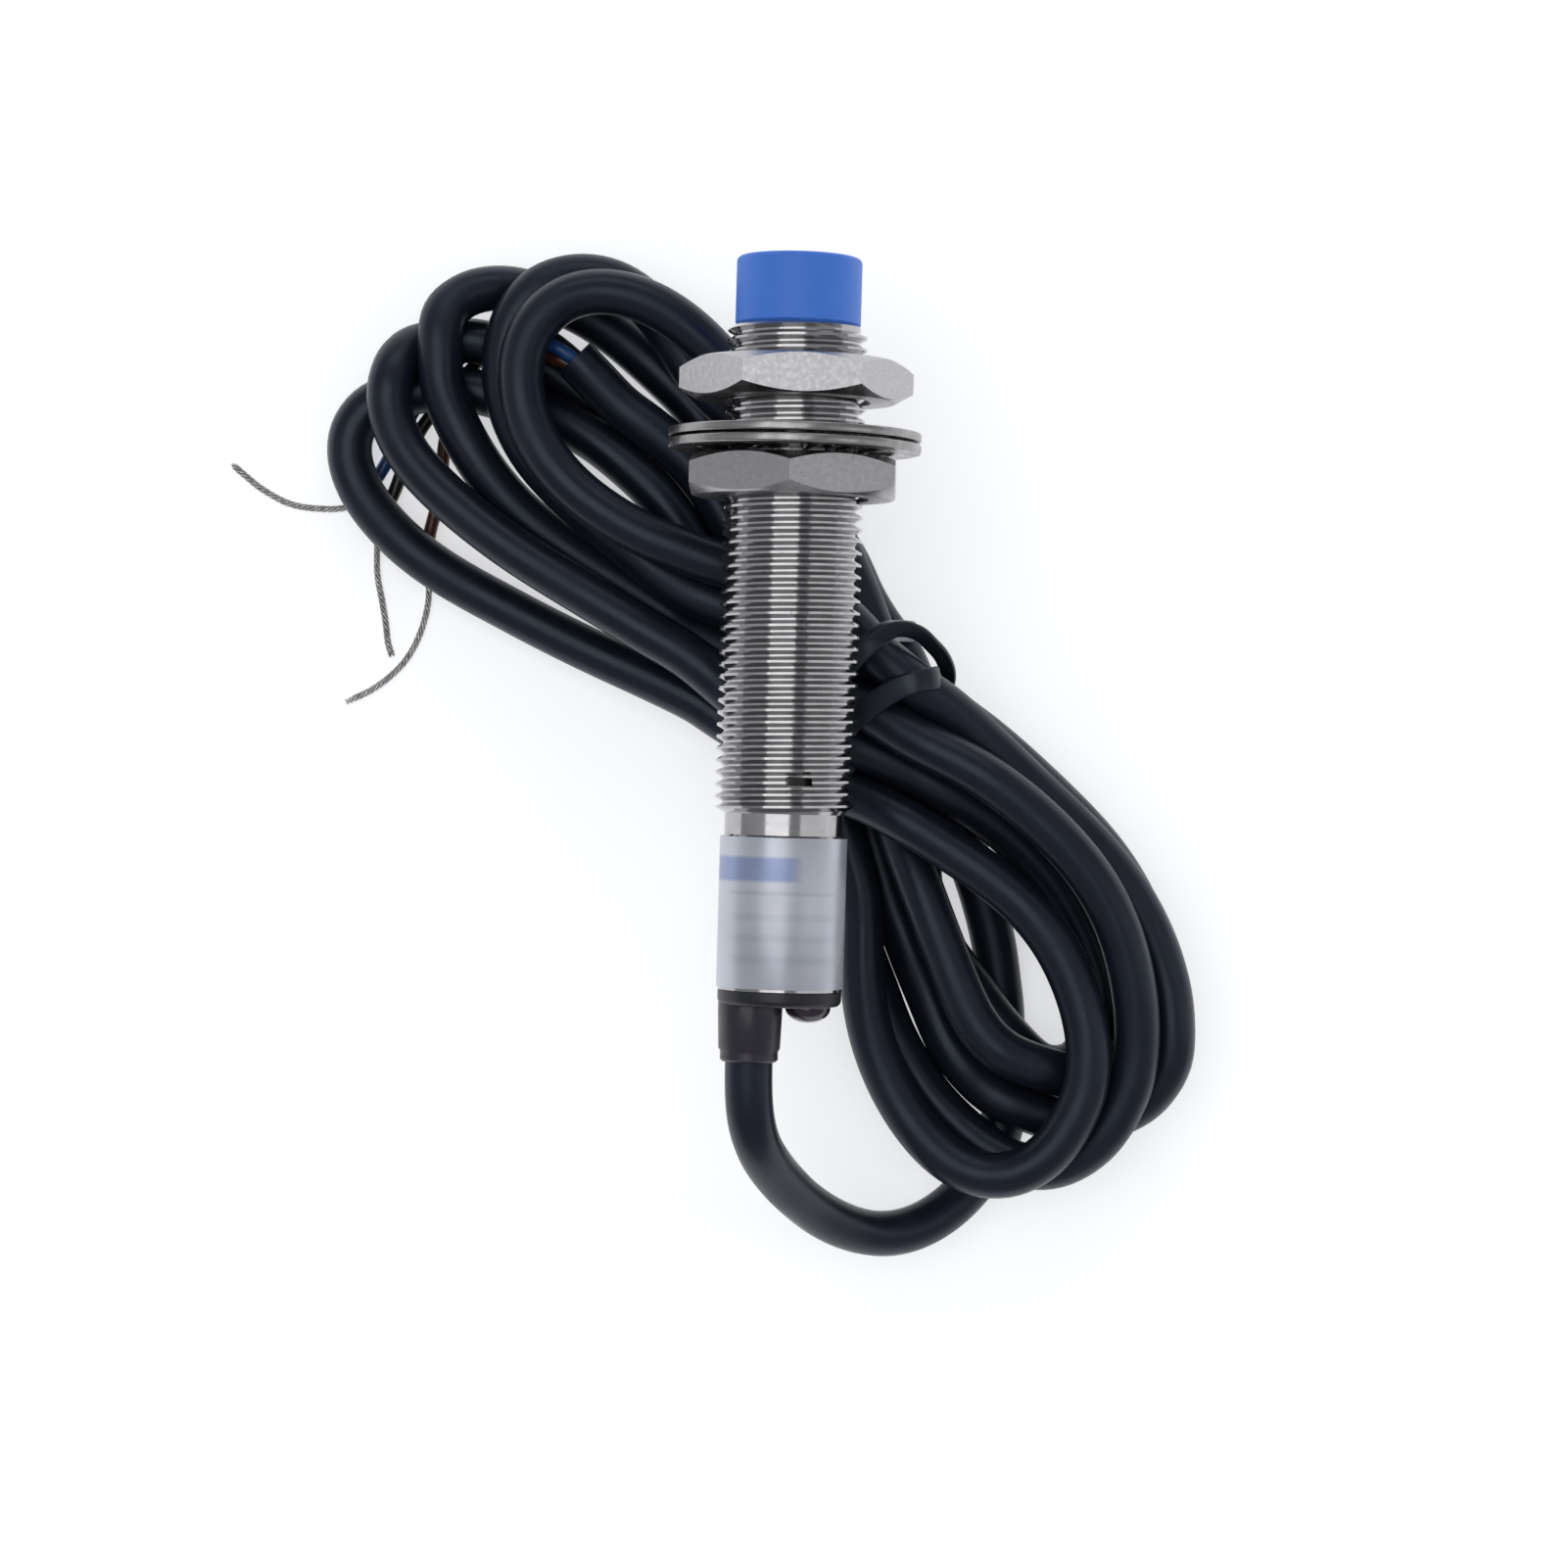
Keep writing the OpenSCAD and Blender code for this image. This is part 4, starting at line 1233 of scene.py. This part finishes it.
CONDUCTORS = (
    Conductor("wire_brown", WIRE_BROWN,
              ((-16.6, -9.9, -17.6), (-20.4, -7.6, -16.5), (-22.4, -7, -17.2), (-24.6, -7.3, -19),
               (-26.6, -8, -21.4), (-28.8, -9.2, -23), (-30.4, -11.4, -23.4),
               (-31.2, -14.2, -23.4), (-31.4, -17.2, -23.4), (-31.8, -20.2, -23.4),
               (-32.4, -23, -23.4), (-32.4, -25.6, -23.4)),
              ((-32.4, -25.2, -23.4), (-32.3, -28.6, -23.6), (-33, -31.6, -23.7),
               (-34.4, -34.2, -23.7), (-36.8, -36.4, -23.7), (-39.4, -37.8, -23.7)),
              "bare_wire_ends"),
    Conductor("wire_blue", WIRE_BLUE,
              ((-16.6, -9.5, -17.2), (-20.4, -6.8, -15.6), (-22.6, -5.8, -16.2),
               (-25, -5.6, -18.2), (-27.4, -6, -20.8), (-29.8, -6.8, -22.8), (-32, -8.6, -23.4),
               (-33.8, -11.2, -23.4), (-35.2, -14, -23.4), (-36.6, -16.8, -23.4),
               (-38.2, -19.4, -23.4)),
              ((-38, -19.2, -23.4), (-39.8, -20.4, -23.5), (-42.4, -20.6, -23.6),
               (-45, -20.2, -23.7), (-47.4, -19, -23.7), (-49, -17.8, -23.7),
               (-50.2, -16.8, -23.7))),
    Conductor("wire_black", WIRE_BLACK,
              ((-16.6, -9.5, -18), (-20.4, -6.2, -16.8), (-22.4, -5, -17.6), (-24.8, -4.8, -19.6),
               (-27, -5.6, -22), (-29.1, -7.9, -23.3), (-31.2, -10.4, -23.4),
               (-33.2, -13, -23.4), (-34.6, -16, -23.4), (-35.6, -19, -23.4),
               (-36.8, -21.6, -23.4), (-37, -23, -23.4)),
              ((-37, -22.8, -23.4), (-36.9, -26.4, -23.6), (-36.4, -28.8, -23.7),
               (-36, -31, -23.7), (-35.8, -32.4, -23.7), (-35.4, -33.6, -23.7))),
)


# ------------------------------------------------------------------ the sensor


@dataclass
class Thread:
    """The fine thread that the barrel and the nuts share."""

    pitch: float = 1.0
    crest: float = 5.85
    depth: float = 0.58
    flat: float = 0.2
    flank: float = 0.32
    segments: int = 96

    def form(self) -> list[tuple[float, float]]:
        """One pitch of the thread as (distance back, depth share): crest, flank, root."""
        return [(0.0, 0.0), (self.flat, 0.0), (self.flat + self.flank, 1.0),
                (self.pitch - self.flank, 1.0)]

    def wind(self, bm: bmesh.types.BMesh, front: float, back: float, widen: float,
             front_r: float, back_r: float, lead_in: float) -> None:
        """Adds the threaded wall between two planes, as one strip wound round the axis.

        Args:
            bm: The mesh to add to.
            front: Where the wall begins along the axis, in millimetres.
            back: Where it ends.
            widen: How far the wall stands outside the thread's own size.
            front_r: Radius of its edge at the front plane.
            back_r: Radius of its edge at the rear plane.
            lead_in: Length over which the wall runs out to each edge.
        """
        base = Part.BARREL.front()
        first = int((base - front) / self.pitch) - 2
        last = int((base - back) / self.pitch) + 2
        marks = [(base - self.pitch * (turn + s), d) for turn in range(first, last)
                 for s, d in self.form()]
        columns = []
        for k in range(self.segments + 1):
            share = k / self.segments
            angle = 2 * math.pi * share
            column = []
            for y0, deep in marks:
                y = y0 + self.pitch * share
                radius = self.crest - self.depth * deep + widen
                radius = self._limit(radius, front - y, front_r, lead_in)
                radius = self._limit(radius, y - back, back_r, lead_in)
                y = min(max(y, back), front)
                across, up = radius * math.sin(angle), radius * math.cos(angle)
                column.append(bm.verts.new(mm(across, y, up)))
            columns.append(column)
        for one, two in zip(columns[:-1], columns[1:]):
            for i in range(len(one) - 1):
                bm.faces.new((one[i], two[i], two[i + 1], one[i + 1]))

    @staticmethod
    def _limit(radius: float, inside: float, edge: float, lead_in: float) -> float:
        """Runs a radius out to the edge's radius near an end plane."""
        if inside <= 0:
            return edge
        if inside >= lead_in:
            return radius
        bound = edge + (inside / lead_in) * (radius - edge)
        return min(radius, bound) if edge <= radius else max(radius, bound)


@dataclass
class Head:
    """The blue sensing cap."""

    edge: float = 0.45
    skirt: float = 2.0
    wall: float = 1.0
    face: float = 0.8
    seat: float = 0.25
    lead_in: float = 0.3

    def build(self) -> bpy.types.Object:
        """Turns the cap with its rounded front edge.

        Returns:
            The cap.
        """
        r, front = Part.CAP.radius(), Part.CAP.front()
        back = Part.BARREL.front()
        bore = r - self.wall
        outline = [(0, front), (r, front), (r, back + self.seat), (r - self.seat, back),
                   (bore + self.lead_in, back - self.skirt), (bore, back - self.skirt),
                   (bore, front - self.face), (0, front - self.face)]
        bm = bmesh.new()
        lathe(bm, rounded(outline[:3], self.edge, 6, closed=False) + outline[3:], closed=False)
        return place(finish_mesh(bm, "cap_shell"), BLUE_CAP, BODY, Part.CAP.value)


@dataclass
class Barrel:
    """The nickel-plated barrel: thread, neck and plain tail, with the slot near its rear."""

    thread: Thread = field(default_factory=Thread)
    chamfer_r: float = 5.3
    bore_r: float = 4.3
    neck_r: float = 5.0
    neck_len: float = 1.9
    tail_wall: float = 0.62
    slot: tuple[float, float, float, float] = (1.2, -43.8, 2.0, 0.7)

    def build(self) -> bpy.types.Object:
        """Builds the barrel as one closed wall and cuts the slot.

        Returns:
            The barrel.
        """
        front, rear = Part.BARREL.front(), Part.BARREL.back()
        neck_end = Part.LABEL.front()
        thread_end = neck_end + self.neck_len
        tail_r = Part.LABEL.radius() - 0.13
        tail_bore = tail_r - self.tail_wall
        bm = bmesh.new()
        self.thread.wind(bm, front, thread_end, 0.0, self.chamfer_r, self.neck_r, 0.45)
        outline = [(self.neck_r, thread_end), (self.neck_r, neck_end + 0.12),
                   (self.neck_r + 0.12, neck_end), (tail_r - 0.05, neck_end),
                   (tail_r, neck_end - 0.05), (tail_r, rear + 0.08), (tail_r - 0.08, rear),
                   (tail_bore, rear), (tail_bore, neck_end - 1.0), (self.bore_r, neck_end - 1.0),
                   (self.bore_r, front), (self.chamfer_r, front)]
        lathe(bm, outline, segments=self.thread.segments, closed=False)
        piece = finish_mesh(bm, "barrel_shell", 24)
        self._cut_slot(piece)
        return place(piece, NICKEL, BODY, Part.BARREL.value)

    def _cut_slot(self, piece: bpy.types.Object) -> None:
        """Cuts the small slot through the barrel's upper wall."""
        x, y, wide, long = self.slot
        bm = bmesh.new()
        bmesh.ops.create_cube(bm, size=1.0)
        for v in bm.verts:
            v.co = mm(x + v.co.x * wide, y + v.co.y * long, 4.9 + v.co.z * 3.8)
        cutter = finish_mesh(bm, "slot_cutter")
        cut = piece.modifiers.new("slot", "BOOLEAN")
        cut.object = cutter
        cut.operation = "DIFFERENCE"
        cut.solver = "EXACT"
        apply_modifiers(piece)
        bpy.data.objects.remove(cutter)


@dataclass
class Label:
    """The foil label wrapped round the tail, with its overlapped seam underneath."""

    thickness: float = 0.1
    overlap: float = 0.16

    def build(self) -> bpy.types.Object:
        """Wraps the foil as a strip whose end lies over its start.

        Returns:
            The label.
        """
        front, back = Part.LABEL.front() - 0.05, Part.LABEL.back()
        inner = Part.LABEL.radius() - self.thickness - 0.01
        bm = bmesh.new()
        rows = []
        steps = 100
        for k in range(steps + 1):
            share = k / steps
            angle = math.pi * 1.12 + 2 * math.pi * (1 + self.overlap / 10) * share
            lift = self.thickness * 0.75 * max(0.0, (share - 0.97) / 0.03)
            radius = inner + lift
            rows.append([mm(r * math.sin(angle), y, r * math.cos(angle)) for r, y in (
                (radius, front), (radius + self.thickness * 0.8, front),
                (radius + self.thickness, front - 0.06), (radius + self.thickness, back + 0.06),
                (radius + self.thickness * 0.8, back), (radius, back))])
        skin(bm, rows, False)
        foil = LabelFoil("label_foil", (0.56, 0.585, 0.66), 0.36, (0.60, 0.62, 0.68),
                         metallic=0.55, bump=0.08, fine=4000, coarse=260, scuffs=0.1,
                         front=front, back=back)
        return place(finish_mesh(bm, "label_wrap"), foil, BODY, Part.LABEL.value)


@dataclass
class RearEnd:
    """What closes the tail: the end cap, the lamp's lens and the strain relief."""

    spigot: float = 1.5

    def build(self) -> list[bpy.types.Object]:
        """Builds the three pieces.

        Returns:
            The end cap, the lens and the strain relief.
        """
        return [self._end_cap(), self._lens(), self._relief()]

    def _end_cap(self) -> bpy.types.Object:
        """Turns the end cap with a rounded rim and a short spigot at its front."""
        r, back = Part.END_CAP.radius(), Part.END_CAP.back()
        face = Part.BARREL.back()
        rim = rounded([(0, back), (r, back), (r, face)], 0.7, 6, closed=False)
        outline = rim + [(r, face), (r - 0.7, face), (r - 0.7, face + self.spigot),
                   (0, face + self.spigot)]
        bm = bmesh.new()
        lathe(bm, outline, closed=False)
        return place(finish_mesh(bm, "rear_cap"), BLACK_PLASTIC, BODY, Part.END_CAP.value)

    def _lens(self) -> bpy.types.Object:
        """Turns the lens: a dome on a short foot."""
        low, high = Part.LENS.span()
        face = Part.END_CAP.back()
        r = (high.x - low.x) / 2 / MM
        tall = face - low.y / MM
        foot = 0.18
        dome = [(r * math.cos(a), face - foot - (tall - foot) * math.sin(a))
                for a in (math.pi / 2 * k / 12 for k in range(13))]
        dome[-1] = (0, dome[-1][1])
        bm = bmesh.new()
        lathe(bm, [(0, face + 0.5), (r, face + 0.5), (r, face)] + dome,
              x=Part.LENS.middle_x(), segments=64, closed=False)
        return place(finish_mesh(bm, "lamp_lens", 50), LENS, BODY, Part.LENS.value)

    def _relief(self) -> bpy.types.Object:
        """Turns the strain relief: a taper with a collar at its tip."""
        r, front, back = Part.RELIEF.radius(), Part.RELIEF.front(), Part.RELIEF.back()
        bore = 2.01
        tip = 2.43
        outline = [(bore, front + 0.4), (r - 0.02, front + 0.4), (r, front), (r, front - 0.5),
                   (tip + 0.16, back + 1.15), (tip + 0.02, back + 0.95), (tip, back + 0.8),
                   (tip, back + 0.22), (tip - 0.18, back + 0.03), (bore + 0.05, back),
                   (bore, back + 0.1)]
        bm = bmesh.new()
        lathe(bm, outline, x=Part.RELIEF.middle_x(), segments=64)
        return place(finish_mesh(bm, "cable_sleeve", 40), RELIEF, BODY, Part.RELIEF.value)


@dataclass
class LockNut:
    """A chamfered hexagon nut with the barrel's own thread in it."""

    part: Part
    body: str
    turned: float
    across_flats: float = 17.0
    face_share: float = 0.98
    clearance: float = 0.07
    countersink: float = 6.32
    thread: Thread = field(default_factory=Thread)

    def build(self) -> bpy.types.Object:
        """Builds the nut.

        Returns:
            The nut.
        """
        front, back = self.part.front(), self.part.back()
        count = self.thread.segments
        face_r = self.face_share * self.across_flats / 2
        slope = math.tan(math.radians(30))
        bm = bmesh.new()
        rows: list[list[bmesh.types.BMVert]] = []
        shoulder = self.countersink - (self.thread.crest + self.clearance)
        step = 2 * math.pi / count
        shift = (math.radians(self.turned) + step / 2) % step - step / 2
        bore = [step * k for k in range(count)]
        hexagon = [angle + shift for angle in bore]

        def ring(angles: list[float], radius_at: Callable[[float], float],
                 y_at: Callable[[float], float]) -> None:
            """Adds one ring of corners from a radius and a place for each angle."""
            rows.append([bm.verts.new(mm(radius_at(a) * math.sin(a), y_at(a),
                                         radius_at(a) * math.cos(a))) for a in angles])

        def flat_r(angle: float) -> float:
            """Distance from the axis to the hexagon's side at an angle."""
            off = (angle - math.radians(self.turned - 30)) % (math.pi / 3) - math.pi / 6
            return self.across_flats / 2 / math.cos(off)

        def cut(angle: float) -> float:
            """How far back the chamfer reaches at an angle."""
            return max(0.02, (flat_r(angle) - face_r) * slope)

        ring(bore, lambda a: self.countersink, lambda a: front)
        ring(hexagon, lambda a: face_r, lambda a: front)
        ring(hexagon, flat_r, lambda a: front - cut(a))
        ring(hexagon, flat_r, lambda a: back + cut(a))
        ring(hexagon, lambda a: face_r, lambda a: back)
        ring(bore, lambda a: self.countersink, lambda a: back)
        for one, two in zip(rows[:-1], rows[1:]):
            for k in range(count):
                n = (k + 1) % count
                bm.faces.new((one[k], one[n], two[n], two[k]))
        self.thread.wind(bm, front, back, self.clearance, self.countersink, self.countersink,
                         shoulder * 1.1)
        piece = bevelled(finish_mesh(bm, self.part.value + "_hex", 20), 0.12, 15)
        return place(piece, NUT_NICKEL, self.body, self.part.value)


@dataclass
class ToothWasher:
    """An internal-tooth lock washer: a flat ring whose teeth are twisted out of its plane."""

    part: Part
    body: str
    lean: float
    teeth: int = 14
    rim: float = 2.3
    bore: float = 6.1
    tooth: float = 1.75
    twist: float = 17.0
    rooted: float = 0.35
    taper: float = 0.22
    thinness: float = 0.88

    def build(self) -> bpy.types.Object:
        """Builds the ring and its teeth.

        Returns:
            The washer.
        """
        outer = self.part.radius()
        front, back = self.part.front(), self.part.back()
        middle, half = (front + back) / 2, (front - back) / 2
        inner = outer - self.rim
        bm = bmesh.new()
        lathe(bm, rounded([(inner, back), (outer, back), (outer, front), (inner, front)], 0.16, 3))
        for k in range(self.teeth):
            self._tooth(bm, 2 * math.pi * (k + 0.5) / self.teeth, inner, middle, half)
        piece = finish_mesh(bm, self.part.value + "_ring", 40)
        return place(piece, WASHER_STEEL, self.body, self.part.value)

    def _tooth(self, bm: bmesh.types.BMesh, angle: float, inner: float, middle: float,
               half: float) -> None:
        """Adds one tooth, which twists more towards the bore.

        Args:
            bm: The mesh to add to.
            angle: Where the tooth stands around the axis.
            inner: Bore of the plain ring.
            middle: Middle plane of the washer.
            half: Half of its thickness.
        """
        out = Vector((math.sin(angle), 0, math.cos(angle)))
        around = Vector((math.cos(angle), 0, -math.sin(angle)))
        root = inner + self.rooted
        steps = 5
        rows = []
        for i in range(steps + 1):
            share = i / steps
            radius = root - (root - self.bore) * share
            turn = math.radians(self.twist * share)
            width = self.tooth * (1 - self.taper * share)
            thick = half * self.thinness
            corners = rounded([(-width / 2, -thick), (width / 2, -thick), (width / 2, thick),
                               (-width / 2, thick)], 0.12, 2)
            shift = self.lean * share
            rows.append([
                (out * radius + around * (u * math.cos(turn) - v * math.sin(turn))
                 + Vector((0, middle + shift + u * math.sin(turn) + v * math.cos(turn), 0))) * MM
                for u, v in corners])
        skin(bm, rows, False)


@dataclass
class InnerParts:
    """The pieces inside the barrel, which keep their CAD shapes and take their own finishes."""

    def build(self) -> None:
        """Dresses each CAD node that is still shown."""
        for name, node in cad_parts.items():
            if node.hide_render:
                continue
            key = SAME_FINISH.get(name, name)
            finish = INNER_FINISHES.get(key, JACKET)
            node.data.materials.clear()
            node.data.materials.append(finish.material())
            log.info("dressed %s as %s", name, finish.slot)


def main() -> None:
    """Builds the studio and every piece of the sensor, in order."""
    scene = bpy.context.scene
    scene.view_settings.view_transform = "Standard"
    studio = Studio()
    studio.camera()
    cable = Cable()
    jacket = cable.build()
    tie = Tie(cable).build()
    log.info("cable is %.0f mm long", cable.length())
    for conductor in CONDUCTORS:
        conductor.build()
    Head().build()
    Barrel().build()
    Label().build()
    RearEnd().build()
    LockNut(Part.FRONT_NUT, "front_nut", 3.0).build()
    LockNut(Part.REAR_NUT, "rear_nut", 28.0).build()
    ToothWasher(Part.FRONT_WASHER, "front_washer", 0.12).build()
    ToothWasher(Part.REAR_WASHER, "rear_washer", -0.2).build()
    InnerParts().build()
    studio.lights()
    studio.surroundings()


if __name__ == "__main__":
    main()
